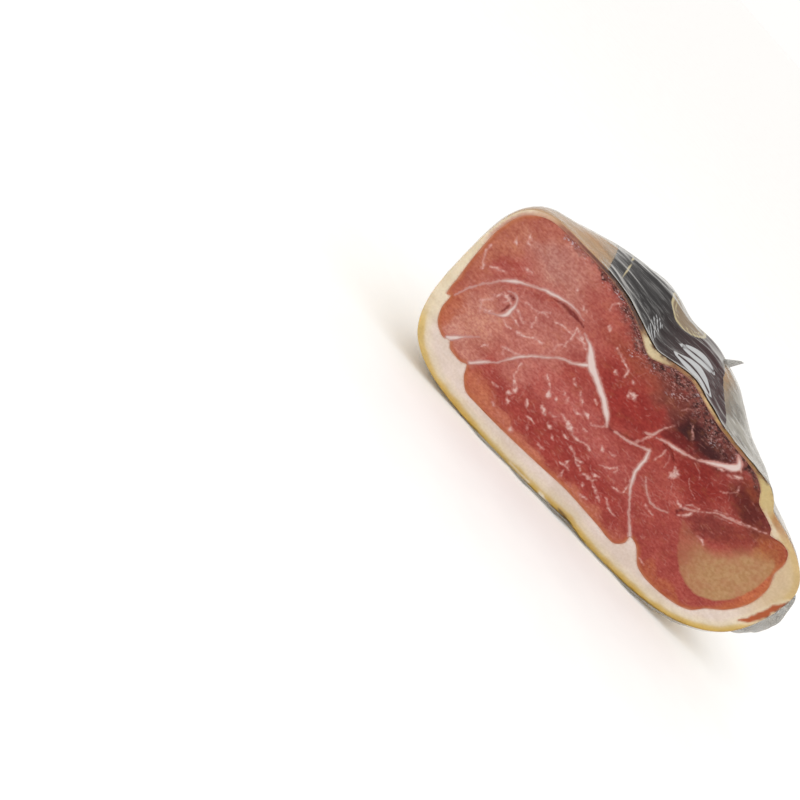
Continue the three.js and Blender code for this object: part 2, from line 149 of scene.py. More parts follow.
# Thin strands that branch through the lean: x and z of each turn, then a half width, which
# below zero leaves only the strand's soft edge
STRANDS = [
    ([(-96, 14.8), (-90, 15.6), (-85, 16.8), (-82, 19.5), (-79, 19)], 0.3),
    ([(-85, 16.5), (-83, 20), (-80.5, 22.5)], 0.25),
    ([(-84, 13.5), (-81.5, 11.5), (-83, 8.5), (-80.5, 6)], 0.35),
    ([(-73, 20.5), (-67, 22.6), (-60, 23.6), (-54, 24.6), (-46, 23)], 0.35),
    ([(-61, 28.3), (-59.5, 25), (-58, 20.5), (-58.5, 16.5), (-57, 14)], 0.35),
    ([(-60.5, 28), (-54, 26), (-48, 24.6)], 0.4),
    ([(-58.5, 13.5), (-61, 11), (-60, 7.5)], 0.25),
    ([(-96, 8), (-91, 5.5), (-86, 4.8)], 0.3),
    ([(-97, 1.5), (-91, 1.8), (-87, 0.6)], 0.3),
    ([(-85, -3.2), (-79, -0.6), (-73, 3.2), (-68, 4.2)], 0.4),
    ([(-110, 9.6), (-107.5, 8), (-105.5, 9.4), (-103, 7.6), (-101, 7)], 0.45),
    ([(-113, 3.5), (-111.5, 1), (-113.5, -1)], 0.35),
    ([(-111.5, 4), (-110, 8), (-106.5, 10), (-104, 7.5), (-105, 4.5)], 0.4),
    ([(-113.5, -1), (-115.5, -5), (-114, -9.5)], 0.35),
    ([(-116.5, -5.5), (-114, -8.5), (-111.5, -11)], 0.35),
    ([(-106, -5), (-110, -8.6), (-114.5, -9.5)], 0.3),
    ([(-96.5, -3.5), (-92, -5), (-89, -4.4)], 0.25),
    ([(-72, -12.5), (-78, -15), (-84, -17)], 0.35),
    ([(-67, -15), (-65, -20), (-64.5, -24), (-58.5, -29)], 0.35),
    ([(-119, 19), (-125, 16.5), (-128, 14.5)], 0.3),
    ([(-138.6, 25), (-138.6, 20), (-136.5, 16.8), (-133, 12.5), (-131.5, 9.8)], 0.45),
    ([(-112.5, 30.8), (-107.5, 31.2)], 0.25),
    ([(-56, 52), (-57.5, 56), (-55, 60)], 0.3),
    ([(-34, 38.4), (-27, 36.6), (-20, 35), (-17, 32.5), (-16, 29.5)], 0.35),
    ([(22, 1), (25, 8), (27.2, 16)], 0.3),
    ([(41, 5), (41.6, 10), (41, 16)], 0.05),
    ([(43.5, 16), (47.5, 12), (49.5, 6)], -0.4),
    ([(46, 33.5), (42, 37), (39, 40)], -0.2),
    ([(26, 42), (28.5, 46), (32, 49.6)], -0.1),
    ([(86, 23), (90.5, 27), (93.5, 31), (91.5, 35)], -0.15),
    ([(97, 8.5), (103, 11.5), (109, 14)], -0.2),
    ([(106, 16), (112, 18.6), (118, 21.5)], 0.25),
    ([(94, 11.5), (99, 14), (102, 16)], -0.1),
    ([(74, -3), (79, -3.8), (82, -2)], 0.6),
    ([(79.5, 0.5), (83, 3), (87, 4.5)], 0.25),
    ([(82, -9), (85, -5.5), (86.5, -1)], 0.5),
    ([(60, 24), (66, 22.4), (71, 18.6)], -0.2),
    ([(66, 14), (71, 9.5), (79, 7)], -0.5),
    ([(60, 3.5), (65, -0.6), (72, -2)], -0.4),
    ([(80, 34.6), (83, 35), (87, 38)], 0.2),
]

# Painted shade: dark, wet red lines in the deep gaps between muscles
GAP_SHADE_TONE = "701f1e"
SHADED_GAP_LINES = [
    [(-88, 29.8, 0.2), (-78, 32.6, 0.9), (-68, 32.9, 1.3), (-59, 32, 0.4)],
    [(-106, 11, 0.6), (-102.5, 10.8, 1.0)],
    [(-101.6, 6.5, 0.5), (-101, 3, 1.0), (-101.6, -0.5, 0.5)],
    [(83, -0.5, 0.2), (80.5, -4.5, 1.1), (79, -8, 0.8), (81.5, -10.5, 0.2)],
    [(30, 21, 0.6), (40, 24.2, 1.6), (50, 27, 1.2), (58, 28.6, 0.4)],
    [(-9, 4, 0.2), (0, -1, 0.5), (6, -2.5, 0.3), (14, 1.6, 0.5), (26, 5.6, 0.3)],
]

# Marbling that can be made out one by one: x, z at both ends, and half width
FLECKS = [
    (-36, 3.5, -31, 1, .5), (-27, .5, -23, -2, .6), (-23, -2, -19, -5, .4),
    (-17, 4, -13, 2, .5), (-34, -7, -32, -9, .5), (-29, -8.5, -27, -12, .7),
    (-20, -11, -14, -9.5, .6), (-15, -7, -9, -8.5, 1.2), (-6, -9, -1, -7.5, .5),
    (-1, -7.5, 2, -4, .4), (-50, -8, -45, -10, .7), (-45, -10, -42, -13, .5),
    (-41, -15, -38, -18, 1.8), (-34, -14, -32, -15.5, .8), (-23, -19.5, -16, -21, .6),
    (-17, -20, -9, -23, 1.9), (-9, -24, 2, -22, .8), (2, -22, 9, -22.5, .6),
    (-6, -15.5, -3, -15, .7), (-36, -25, -30, -28, 1.3), (-29, -24.5, -24, -23, .5),
    (-11, -28, -7, -28.5, .8), (-25, -31, -20, -32.5, .9), (-2, -31, 5, -33.3, .7),
    (5, -33.3, 12, -33, .7), (9, -35, 15, -37, .7), (18, -38, 27, -37, .7),
    (28, -37.5, 38, -41, .6), (37, -42, 41, -43, .6), (42, -38, 55, -42, .6),
    (5, -38.5, 6, -42, 1.1), (2, -43.5, 10, -43, .5), (8, -46, 9, -52, .6),
    (11, -14.5, 15, -16.5, .9), (18, -13.5, 22, -12.5, .6), (20, -25, 29, -18, .5),
    (29, -17, 31, -20, .5), (27, -31, 22, -33, .6), (27, -34, 26, -37, .4),
    (38, -28.5, 43, -27.5, .5), (27, -49.5, 33, -48.5, .7), (23, -42, 25, -44, .8),
    (-38, -38.5, -30, -38, .5), (-32, -43, -30, -44, .6), (-38, -52, -36, -54, 1.4),
    (-18, -46, -12, -45, .4), (-46, -30, -42, -34, .7), (-16, -35, -13, -36, .6),
    (-60, -48.5, -57, -49, .8), (-57, -29, -55, -33, 1.3), (-56, -35, -58, -37, 1.2),
    (-55, -39.5, -52, -41.5, .9), (-62, -27, -58, -30, .6), (-65, -24, -62, -26, .5),
    (-70, -39, -65, -38.5, .6), (-84, -17, -80, -15, .6), (-82, -18, -80, -20, .4),
    (-93, -27, -91, -23.5, .5), (-105, -6.5, -109, -9, .6), (-113, 3, -112, 1, .5),
    (-54, 27, -49, 24.5, .5), (-127, 48, -124, 46, .5), (-131, 39.5, -128, 37, 1),
    (-48, 45, -46, 43.5, 1.2), (-10, 31, -8, 30.5, .7), (-23, 27.5, -20.5, 26, .8),
    (-4.5, 24, -1, 26.5, 1.3), (-1.5, 25.5, .5, 23, 1), (-4.5, 23.5, -3, 21.8, .6),
    (54, 12, 57, 9.5, 1.3), (56, 10.5, 58.3, 5.5, 2), (57.5, 10.8, 60, 9.5, .9),
    (55, 7.5, 57, 4.5, .9), (102, -9.5, 109, -10.5, .45),
    (62, -20, 71, -22, .4), (90, -50.5, 95, -51, .5), (44, -19, 46, -26, .45),
    (83, 37.5, 88, 39.5, 1), (-31, 52.5, -27, 51, .9), (-27.5, 51, -24, 49.8, .6),
    (-69, 41, -65, 40, .6), (-81, 46.5, -79.5, 45, .6), (-125, 44.5, -121, 43, .5),
    (70, 33, 76, 34.5, .6),
]
# Fine marbling, drawn at random: count, x and z range, lengths, half widths, and the slope
# and its spread in degrees
FINE_FLECKS = [
    {"count": 230, "x": (-66, 72), "z": (-54, -5), "long": (1.2, 4.5), "half": (0, 0.3),
     "slope": (-8, 14)},
    {"count": 160, "x": (-125, -50), "z": (-38, 30), "long": (1, 4), "half": (0, 0.26),
     "slope": (30, 60)},
    {"count": 150, "x": (-138, 30), "z": (8, 62), "long": (0.8, 3), "half": (-0.1, 0.22),
     "slope": (-20, 50)},
    {"count": 75, "x": (46, 108), "z": (-14, 32), "long": (1.5, 5), "half": (-0.35, 0.12),
     "slope": (-14, 38)},
    {"count": 28, "x": (50, 130), "z": (-52, -14), "long": (1, 4), "half": (-0.2, 0.15),
     "slope": (-20, 30)},
]
FLECK_SEED = 11

# The tan patch near the shank end
TAN_PATCH = [
    (86, -9), (92, -17), (100, -26), (110, -33.5), (121, -38.5), (133, -39.5), (143, -35.5),
    (151, -27), (155.5, -15), (156.5, -4), (155.5, 6), (152, 15), (146, 19), (137, 17),
    (130, 11), (124, 2), (119, -5), (111, -8.8), (98, -8.5),
]

# Its upper left side, which melts into the red
TAN_TOP = [(98, -8.5, 0), (111, -8.8, 0), (119, -5, 0), (124, 2, 0), (130, 11, 0), (137, 17, 0)]

# Tones of the lean: colour, strength, then x, z, two radii and a turn in degrees
LEAN_TONE = "a0463e"
LEAN_TONES = [
    ("b87a6e", 0.85, -98, 48, 48, 18, 0),
    ("b37a70", 0.6, -104, 47, 16, 9, 0),
    ("ad6450", 0.85, -136, 28, 12, 36, 4),
    ("a04e3c", 0.6, -124, 57, 14, 6, 20),
    ("a34d44", 0.85, -50, 48, 30, 14, -10),
    ("ae655c", 0.85, -80, 18, 36, 17, 8),
    ("983c34", 0.6, -88, 26, 13, 3.5, 14),
    ("bf7e6e", 0.9, -110, -18, 20, 27, 0),
    ("b05c40", 0.7, -127, -26, 5, 18, 8),
    ("bb7469", 0.85, -70, -6, 24, 20, 20),
    ("ab625a", 0.7, -104, 5, 6, 9, 0),
    ("cf9587", 0.5, -112, -34, 10, 6, 20),
    ("cb8c7e", 0.5, -93, -37, 8, 5, 0),
    ("ac5650", 0.85, -10, -16, 58, 15, -6),
    ("97352f", 0.8, 8, -38, 70, 12, 0),
    ("953530", 0.5, -6, -32, 26, 5, -4),
    ("bd6f58", 0.75, -5, -54, 90, 7, 0),
    ("bb6b4e", 0.7, -74, -51, 20, 10, 4),
    ("8c2823", 0.9, 2, 18, 38, 17, -5),
    ("8f4030", 0.8, -7, 42, 42, 9, 0),
    ("67302a", 0.85, 24, 43, 26, 10, 0),
    ("351114", 0.95, 52, 37, 27, 14, 12),
    ("6a1c18", 0.8, 40, 25, 13, 5, 15),
    ("5a1d18", 0.95, 109, 31, 26, 12, -18),
    ("8f422a", 0.5, 98, 40, 10, 5, -20),
    ("80211c", 0.9, 72, 17, 27, 14, 8),
    ("a24a42", 0.5, 62, -3, 18, 9, 0),
    ("742c27", 0.85, 104, 3, 21, 10, 22),
    ("8d3a2e", 0.6, 120, 12, 12, 14, 20),
    ("993f39", 0.75, 80, -32, 40, 22, -10),
    ("b8633f", 0.85, 158, -14, 9, 34, 6),
    ("a95a3a", 0.6, 122, -53, 34, 6, 0),
    ("9d5230", 0.75, 142, 24, 16, 6, 0),
    ("a3683c", 0.7, 143, 15, 12, 6, 0),
]

# How fine the meshes are, in mm and in steps between the outline's points
LEAN_GRID = 0.68
BAND_GRID = 1.3
FACE_MARGIN = 0.45             # no grid point lies closer to an outline
BAND_MARGIN = FACE_MARGIN * 1.4
SAME_POINT = 1e-6
NEAR_LINE = 9                  # points further from a line aren't measured
LEAN_RING_STEPS = 5
HAM_RING_STEPS = 6
LABEL_RISE = (20, 34)          # heights over which the label side begins


def linear(value):
    """An sRGB hex colour as a linear colour with full alpha."""
    parts = [int(value[k:k + 2], 16) / 255 for k in (0, 2, 4)]
    return [p / 12.92 if p <= 0.04045 else ((p + 0.055) / 1.055) ** 2.4 for p in parts] + [1.0]


def ramp(low, high, value):
    """A smooth step from 0 at low to 1 at high, which may be the smaller one."""
    t = np.clip((value - low) / (high - low), 0, 1)
    return t * t * (3 - 2 * t)


def blend(a, b, share):
    return a + (b - a) * share


def spline(points, steps, closed):
    """The centripetal curve through the points, as the solids use it."""
    points = np.asarray(points, float)
    count = len(points)
    if closed:
        a, b, c, d = (np.roll(points, shift, axis=0) for shift in (1, 0, -1, -2))
    else:
        ends = 2 * points[0] - points[1], 2 * points[-1] - points[-2]
        longer = np.vstack([ends[0], points, ends[1]])
        a, b, c, d = (longer[k:k + count - 1] for k in range(4))
    before, here, after = (
        np.linalg.norm(q - p, axis=1, keepdims=True) ** 0.5 for p, q in ((a, b), (b, c), (c, d))
    )
    leave = ((b - a) / before - (c - a) / (before + here) + (c - b) / here) * here
    arrive = ((c - b) / here - (d - b) / (here + after) + (d - c) / after) * here
    t = (np.arange(steps) / steps)[None, :, None]
    b, c, leave, arrive = (value[:, None, :] for value in (b, c, leave, arrive))
    curve = b + leave * t + (3 * c - 3 * b - 2 * leave - arrive) * t ** 2
    curve = (curve + (2 * b - 2 * c + leave + arrive) * t ** 3).reshape(-1, points.shape[1])
    return curve if closed else np.vstack([curve, points[-1]])


def label_side_of_lean(outline):
    """The lean lies CRUST inside the ham's edge along the label side, less at the pocket."""
    points = []
    for index in range(0, len(outline), EDGE_STEPS):
        x, z = outline[index]
        if not (z > LABEL_SIDE["above"] and LABEL_SIDE["to"] < x < LABEL_SIDE["from"]):
            continue
        along = outline[(index + 1) % len(outline)] - outline[index - 1]
        along = along / np.linalg.norm(along)
        inset = CRUST + POCKET["depth"] * math.exp(-((x - POCKET["x"]) / POCKET["width"]) ** 2)
        points.append((x - along[1] * inset, z + along[0] * inset))
    return points


def softened(ring):
    """The outline with its corners worn down."""
    for _ in range(SOFTEN_PASSES):
        ring = (np.roll(ring, 1, axis=0) + 2 * ring + np.roll(ring, -1, axis=0)) / 4
    return ring


def swelling(x):
    """SWELL as a smooth curve along x."""
    place = (x - SWELL_START) / SWELL_STEP
    index = np.clip(np.floor(place).astype(int), 1, len(SWELL) - 3)
    a, b, c, d = (SWELL[index + k] for k in (-1, 0, 1, 2))
    t = np.clip(place - index, 0, 1)
    return b + 0.5 * t * (c - a + t * (2 * a - 5 * b + 4 * c - d + t * (3 * (b - c) + d - a)))


def profile(share, power):
    return max(0.0, 1 - share ** power[0]) ** (1 / power[1])


def lump(x, y, dz, share):
    """Slow unevenness of the ham's outside, in mm."""
    on_side = blend(LUMPS_ON_RIND, 1, ramp(*RIND_BAND, dz))
    waves = np.sin(x / LUMPS["along"]) * math.cos(y / LUMPS["across"])
    waves = waves + np.sin(x / LUMPS["slow"] - y / LUMPS["drift"]) / 2
    return LUMPS["height"] * waves * on_side * ramp(0, LUMPS["depth"], y) * (1 - share ** 4)


def body_ring(edge, soft, share, depth):
    """The ring of the ham's round body at a share of its depth."""
    y = share * depth
    x, z = blend(edge, soft, ramp(0, SOFTEN_DEPTH, y)).T
    dx = x - MIDDLE[0]
    dz = z - MIDDLE[1]
    raised = dz + swelling(x) * ramp(*SWELL_FOOT, dz) * ramp(0, SWELL_DEPTH, y)
    side = np.where(dz > 0, profile(share, LABEL_POWER), profile(share, RIND_POWER))
    new_x = MIDDLE[0] + dx * profile(share, END_POWER)
    new_z = MIDDLE[1] + raised * side
    out = lump(new_x, y, dz, share) / np.hypot(dx, dz)
    new_z = np.maximum(new_z + dz * out, REST_Z)
    return np.stack([new_x + dx * out, np.full(len(x), y), new_z], axis=1)


def body_skin(outline, steps, levels, depth, crowding=1.0):
    """Rings from the cut to the back, levels x columns x 3. Crowding puts more at the cut."""
    edge = spline(outline, steps, True)
    soft = spline(softened(outline), steps, True)
    turns = (np.arange(levels) / levels) ** crowding * math.pi / 2
    return np.array([body_ring(edge, soft, math.sin(turn), depth) for turn in turns])


def outward(skin):
    """Unit normals of a ringed skin, level with the cut at its first ring."""
    around = np.roll(skin, -1, axis=1) - np.roll(skin, 1, axis=1)
    back = np.gradient(skin, axis=0)
    normals = np.cross(back, around)
    normals[0, :, 1] = 0
    return normals / np.maximum(np.linalg.norm(normals, axis=2, keepdims=True), 1e-9)


def ring_faces(one, two):
    """Quads between two closed rings of point numbers."""
    count = len(one)
    return [(one[k], two[k], two[(k + 1) % count], one[(k + 1) % count]) for k in range(count)]


def skin_faces(levels, columns, first, pole, flipped=False):
    """Quads between the rings of a skin, with a fan to its pole."""
    rings = [range(first + k * columns, first + (k + 1) * columns) for k in range(levels)]
    faces = [face for pair in zip(rings, rings[1:]) for face in ring_faces(*pair)]
    faces += [(rings[-1][k], pole, rings[-1][(k + 1) % columns]) for k in range(columns)]
    return [face[::-1] for face in faces] if flipped else faces


def reach_of(points, path):
    """How far inside a tapered line each point lies, in mm: negative outside it."""
    best = np.full(len(points), -FAR)
    for (x0, z0, h0), (x1, z1, h1) in zip(path, path[1:]):
        low = np.minimum((x0, z0), (x1, z1)) - NEAR_LINE
        high = np.maximum((x0, z0), (x1, z1)) + NEAR_LINE
        near = ((points > low) & (points < high)).all(axis=1)
        if not near.any():
            continue
        part = points[near]
        along = np.array([x1 - x0, z1 - z0])
        t = np.clip((part - (x0, z0)) @ along / (along @ along), 0, 1)
        off = part - (x0, z0) - t[:, None] * along
        best[near] = np.maximum(best[near], h0 + t * (h1 - h0) - np.hypot(off[:, 0], off[:, 1]))
    return best


def depth_inside(points, ring):
    """Signed distance to a closed ring of close points, in mm: positive inside it."""
    count = len(ring)
    tree = KDTree(count)
    for index, (x, z) in enumerate(ring):
        tree.insert((x, z, 0), index)
    tree.balance()
    nearest = np.array([tree.find((x, z, 0))[1] for x, z in points])
    best = np.full(len(points), FAR)
    for shift in (-1, 0):
        start = ring[(nearest + shift) % count]
        along = ring[(nearest + shift + 1) % count] - start
        t = np.clip(((points - start) * along).sum(axis=1) / (along ** 2).sum(axis=1), 0, 1)
        off = points - start - t[:, None] * along
        best = np.minimum(best, np.hypot(off[:, 0], off[:, 1]))
    inside = np.zeros(len(points), bool)
    for (x0, z0), (x1, z1) in zip(ring, np.roll(ring, -1, axis=0)):
        crossing = (points[:, 1] < z0) != (points[:, 1] < z1)
        if crossing.any():
            line = x0 + (points[crossing, 1] - z0) * (x1 - x0) / (z1 - z0)
            inside[crossing] ^= points[crossing, 0] < line
    return np.where(inside, best, -best)


def ripple(points, size, seed):
    """Smooth noise at each point, from about -1 to 1, with features `size` mm wide."""
    shift = Vector((seed * 17.3, seed * 5.1, seed * 9.7))
    flat = points.shape[1] == 2
    spots = (Vector((p[0], p[1], 0)) if flat else Vector(p) for p in points)
    return np.array([noise.noise(spot / size + shift) for spot in spots])


def hex_grid(low, high, step):
    rows = np.arange(low[1], high[1], step * math.sqrt(0.75))
    columns = np.arange(low[0], high[0], step)
    x, z = np.meshgrid(columns, rows)
    x = x + (np.arange(len(rows)) % 2)[:, None] * step / 2
    return np.stack([x.ravel(), z.ravel()], axis=1)


# The frame's place for the face: where x, y, z = 0 of the face's millimetres comes
film_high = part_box("bag_film")[1] / MM
fat_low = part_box("fat_cover")[0] / MM
ORIGIN = np.array([
    film_high.x - TAIL_REACH, film_high.y - HAM_DEPTH - FILM_BACK, fat_low.z - REST_Z,
])


def put(name, data):
    """Adds an object with this data to the scene."""
    thing = bpy.data.objects.new(name, data)
    scene.collection.objects.link(thing)
    return thing


def mesh_piece(name, points, faces, material, values=None):
    """A smooth piece from the face's millimetres, with its named values at the points."""
    mesh = bpy.data.meshes.new(name)
    mesh.from_pydata(((np.asarray(points) + ORIGIN) * MM).tolist(), [], faces)
    mesh.materials.append(material)
    mesh.polygons.foreach_set("use_smooth", [True] * len(mesh.polygons))
    for label, value in (values or {}).items():
        colour = value.ndim == 2
        layer = mesh.attributes.new(label, "FLOAT_COLOR" if colour else "FLOAT", "POINT")
        layer.data.foreach_set("color" if colour else "value", value.astype(np.float32).ravel())
    mesh.update()
    return put(name, mesh)


# Short names for the kinds of node used most, and how each is usually set. A Map Range is fed
# in order: the value, what it runs from and to, and what it gives there
MIX = "ShaderNodeMix"
RANGE = "ShaderNodeMapRange"
MATH = "ShaderNodeMath"
BUMP = "ShaderNodeBump"
ATTRIBUTE = "ShaderNodeAttribute"
USUAL = {
    MIX: {"data_type": "RGBA"},
    RANGE: {"interpolation_type": "SMOOTHSTEP"},
    MATH: {"operation": "MULTIPLY"},
}
# A Mix node's sockets: what it mixes by, its colours A and B and the mixed colour, its numbers
BY, A, B, COLOUR = 0, 6, 7, 2
LOW, HIGH = 2, 3


def feed(tree, node, inputs):
    """Sets a node's inputs, named or in order, from values or from the sockets that feed them."""
    named = inputs if isinstance(inputs, dict) else dict(enumerate(inputs))
    for name, value in named.items():
        if isinstance(value, bpy.types.NodeSocket):
            tree.links.new(value, node.inputs[name])
        else:
            node.inputs[name].default_value = value


def add(tree, kind, inputs=(), output=0, **settings):
    """Adds a node with its inputs and settings, and gives back one of its output sockets."""
    node = tree.nodes.new(kind)
    for name, value in {**USUAL.get(kind, {}), **settings}.items():
        setattr(node, name, value)
    feed(tree, node, inputs)
    return node.outputs[output] if node.outputs else node


def new_material(name):
    material = bpy.data.materials.new(name)
    material.use_nodes = True
    tree = material.node_tree
    return material, tree, tree.nodes["Principled BSDF"]


def speckle(tree, size, stretch=(1, 1, 1), turn=0.0, detail=3.0):
    """Noise with features about `size` mm wide, stretched along its turned axes."""
    coords = add(tree, "ShaderNodeTexCoord", output="Object")
    laid = add(tree, "ShaderNodeMapping", {
        "Vector": coords, "Rotation": (0, math.radians(turn), 0),
        "Scale": tuple(1 / s for s in stretch),
    })
    return add(tree, "ShaderNodeTexNoise", {
        "Vector": laid, "Scale": 1 / (size * MM), "Detail": detail,
    })


def mottled(tree, body, low, high, patterns):
    """The body colour, shaded from dark to light by each pattern in turn."""
    for pattern, dark, light in patterns:
        share = add(tree, RANGE, [pattern, low, high])
        shade = add(tree, MIX, {BY: share, A: dark, B: light}, COLOUR)
        body = add(tree, MIX, {BY: 1.0, A: body, B: shade}, COLOUR, blend_type="MULTIPLY")
    return body


def cured_lean():
    """Air-dried lean ham, sliced: satin muscle with fine grain, translucent to a millimetre.
    The eye sees mottled reds that differ by muscle, crossed by pinkish white fat."""
    material, tree, shader = new_material("air_dried_lean")
    body = add(tree, ATTRIBUTE, output="Color", attribute_name="tone")
    seam, marbling, fine, tan, crust, painted_glint, rim = (
        add(tree, ATTRIBUTE, output="Fac", attribute_name=name) for name in LEAN_VALUES
    )
    fibre = speckle(tree, 0.9, (5, 1, 1), turn=9)
    grain = speckle(tree, 1.7, (1.4, 1, 1), turn=20, detail=5)
    cloud = speckle(tree, 8, (1.7, 1, 1), turn=-10, detail=6)
    body = mottled(tree, body, 0.3, 0.7, [
        (fibre, (0.95, 0.91, 0.91, 1), (1.05, 1.11, 1.11, 1)),
        (grain, (0.87, 0.76, 0.76, 1), (1.11, 1.26, 1.24, 1)),
        (cloud, (0.90, 0.84, 0.84, 1), (1.08, 1.16, 1.14, 1)),
    ])

    # the tan patch is finely granular
    tan_grain = add(tree, RANGE, [speckle(tree, 2.6, (1.3, 1, 1), detail=6), 0.3, 0.7])
    tan_tone = add(tree, MIX, {BY: tan_grain, A: linear("a67d53"), B: linear("b69168")}, COLOUR)
    blotch = add(tree, RANGE, [speckle(tree, 11, detail=4), 0.42, 0.64, 0, 0.4])
    tan_tone = add(tree, MIX, {BY: blotch, A: tan_tone, B: linear("a8694f")}, COLOUR)

    # dried crust under the label edge: dark and rough, with pale glassy specks whose glints are
    # painted highlights in the colour, some colder
    dry = speckle(tree, 2.2, (1.8, 1, 1), turn=-4, detail=6)
    knobs = add(tree, RANGE, [dry, 0.38, 0.62])
    crust_tone = add(tree, MIX, {BY: knobs, A: linear("331818"), B: linear("78433c")}, COLOUR)
    speck = add(tree, RANGE, [speckle(tree, 1.0, (2, 1, 1), turn=-12, detail=5), 0.51, 0.64])
    painted_glint_share = add(tree, MATH, [speck, painted_glint])
    sparse = add(tree, RANGE, [speckle(tree, 6, detail=2), 0.4, 0.6, 0.25, 1])
    painted_glint_share = add(tree, MATH, [painted_glint_share, sparse])
    cold = add(tree, RANGE, [speckle(tree, 12, detail=2), 0.5, 0.66])
    painted_glint_tone = add(tree, MIX, {BY: cold, A: linear("c39690"), B: linear("c9bfc6")}, COLOUR)

    # fat is pinker where it is thin, and its edges wander where it sinks into the lean
    sway = add(tree, RANGE, [speckle(tree, 1.9, detail=4), 0.25, 0.75, -0.4, 0.4])
    near_seam = add(tree, MATH, [seam, sway], operation="ADD")
    near_fleck = add(tree, MATH, [marbling, sway], operation="ADD")
    patchy = add(tree, RANGE, [speckle(tree, 3, detail=2), 0.36, 0.6, 0.45, 1])
    fleck_share = add(tree, RANGE, [near_fleck, -1.3, 0.55, 0, 0.88])
    core = add(tree, RANGE, [near_fleck, -0.4, 0.95])
    fleck_tone = add(tree, MIX, {BY: core, A: linear("cb9289"), B: linear("d9bab2")}, COLOUR)
    fleck_share = add(tree, MATH, [fleck_share, patchy])
    fleck_share = add(tree, MATH, [fleck_share, add(tree, RANGE, [crust, 0, 0.9, 1, 0.35])])
    thick = add(tree, RANGE, [seam, 0.3, 1.8])
    fat_tone = add(tree, MIX, {BY: thick, A: linear("b8837b"), B: linear("d8c4be")}, COLOUR)
    warm = add(tree, RANGE, [speckle(tree, 5, (1.5, 1, 1)), 0.5, 0.72, 0, 0.14])
    threads = speckle(tree, 1.3, (3.5, 1, 1), turn=14, detail=5)
    threads = add(tree, RANGE, [threads, 0.56, 0.72, 0, 0.2])
    layers = [
        (warm, linear("ac6a42")),
        (threads, linear("c98a80")),
        (add(tree, RANGE, [rim, RIM_WIDTH, 0.1, 0, 0.62]), linear("ad6239")),
        (add(tree, RANGE, [rim, 1.3, -0.1, 0, 0.5]), linear("c98f74")),
        (tan, tan_tone),
        (crust, crust_tone),
        # painted highlights: the glints of the crust's specks
        (add(tree, MATH, [painted_glint_share, 0.8]), painted_glint_tone),
        (add(tree, RANGE, [fine, -0.7, 0.5, 0, 0.42]), linear("c98f85")),
        (fleck_share, fleck_tone),
        (add(tree, RANGE, [seam, -1.5, -0.1, 0, 0.2]), linear("b9786f")),
        (add(tree, RANGE, [near_seam, -0.4, 0.4]), fat_tone),
    ]
    for share, colour in layers:
        body = add(tree, MIX, {BY: share, A: body, B: colour}, COLOUR)

    wet = add(tree, RANGE, [cloud, 0.3, 0.7, 0.44, 0.58])
    relief = add(tree, BUMP, {"Height": fibre, "Distance": 0.2 * MM, "Strength": 0.4})
    relief = add(tree, BUMP, {
        "Height": grain, "Distance": 0.15 * MM, "Strength": 0.5, "Normal": relief,
    })
    roughened = add(tree, MATH, [dry, crust])
    relief = add(tree, BUMP, {
        "Height": roughened, "Distance": 1.2 * MM, "Strength": 0.8, "Normal": relief,
    })
    feed(tree, shader, {
        "Base Color": body, "Normal": relief, "IOR": 1.42, "Specular IOR Level": 0.22,
        "Roughness": add(tree, MIX, {BY: painted_glint_share, LOW: wet, HIGH: 0.2}, data_type="FLOAT"),
        "Subsurface Weight": 0.12, "Subsurface Radius": (1.0, 0.35, 0.2),
        "Subsurface Scale": 1.0 * MM,
    })
    return material


def cured_fat():
    """Cured back fat and its trimmed outside, waxy and translucent: white to pink inside,
    yellowed by air outside, where the tight film lends it a wet gloss."""
    material, tree, shader = new_material("cured_fat")
    body = add(tree, ATTRIBUTE, output="Color", attribute_name="tone")
    skin = add(tree, ATTRIBUTE, output="Fac", attribute_name="skin")
    cloud = speckle(tree, 7, (2.4, 1, 1))
    grain = speckle(tree, 1.8)
    body = mottled(tree, body, 0.32, 0.68, [
        (cloud, (0.93, 0.92, 0.9, 1), (1.04, 1.05, 1.07, 1)),
        (grain, (0.96, 0.95, 0.94, 1), (1.03, 1.04, 1.05, 1)),
    ])
    blotch = add(tree, RANGE, [speckle(tree, 14, (1.5, 1, 1), detail=5), 0.44, 0.68, 0, 0.42])
    tanned = add(tree, MATH, [blotch, skin])
    body = add(tree, MIX, {BY: tanned, A: body, B: linear("a8763f")}, COLOUR)
    relief = add(tree, BUMP, {"Height": cloud, "Distance": 0.5 * MM, "Strength": 0.5})
    relief = add(tree, BUMP, {
        "Height": grain, "Distance": 0.15 * MM, "Strength": 0.5, "Normal": relief,
    })
    feed(tree, shader, {
        "Base Color": body, "Normal": relief, "IOR": 1.46,
        "Roughness": add(tree, RANGE, [cloud, 0.3, 0.7, 0.36, 0.5]),
        "Coat Weight": 0.2, "Coat Roughness": 0.12,
        "Subsurface Weight": 0.25, "Subsurface Radius": (1.0, 0.7, 0.45),
        "Subsurface Scale": 2.0 * MM,
    })
    return material


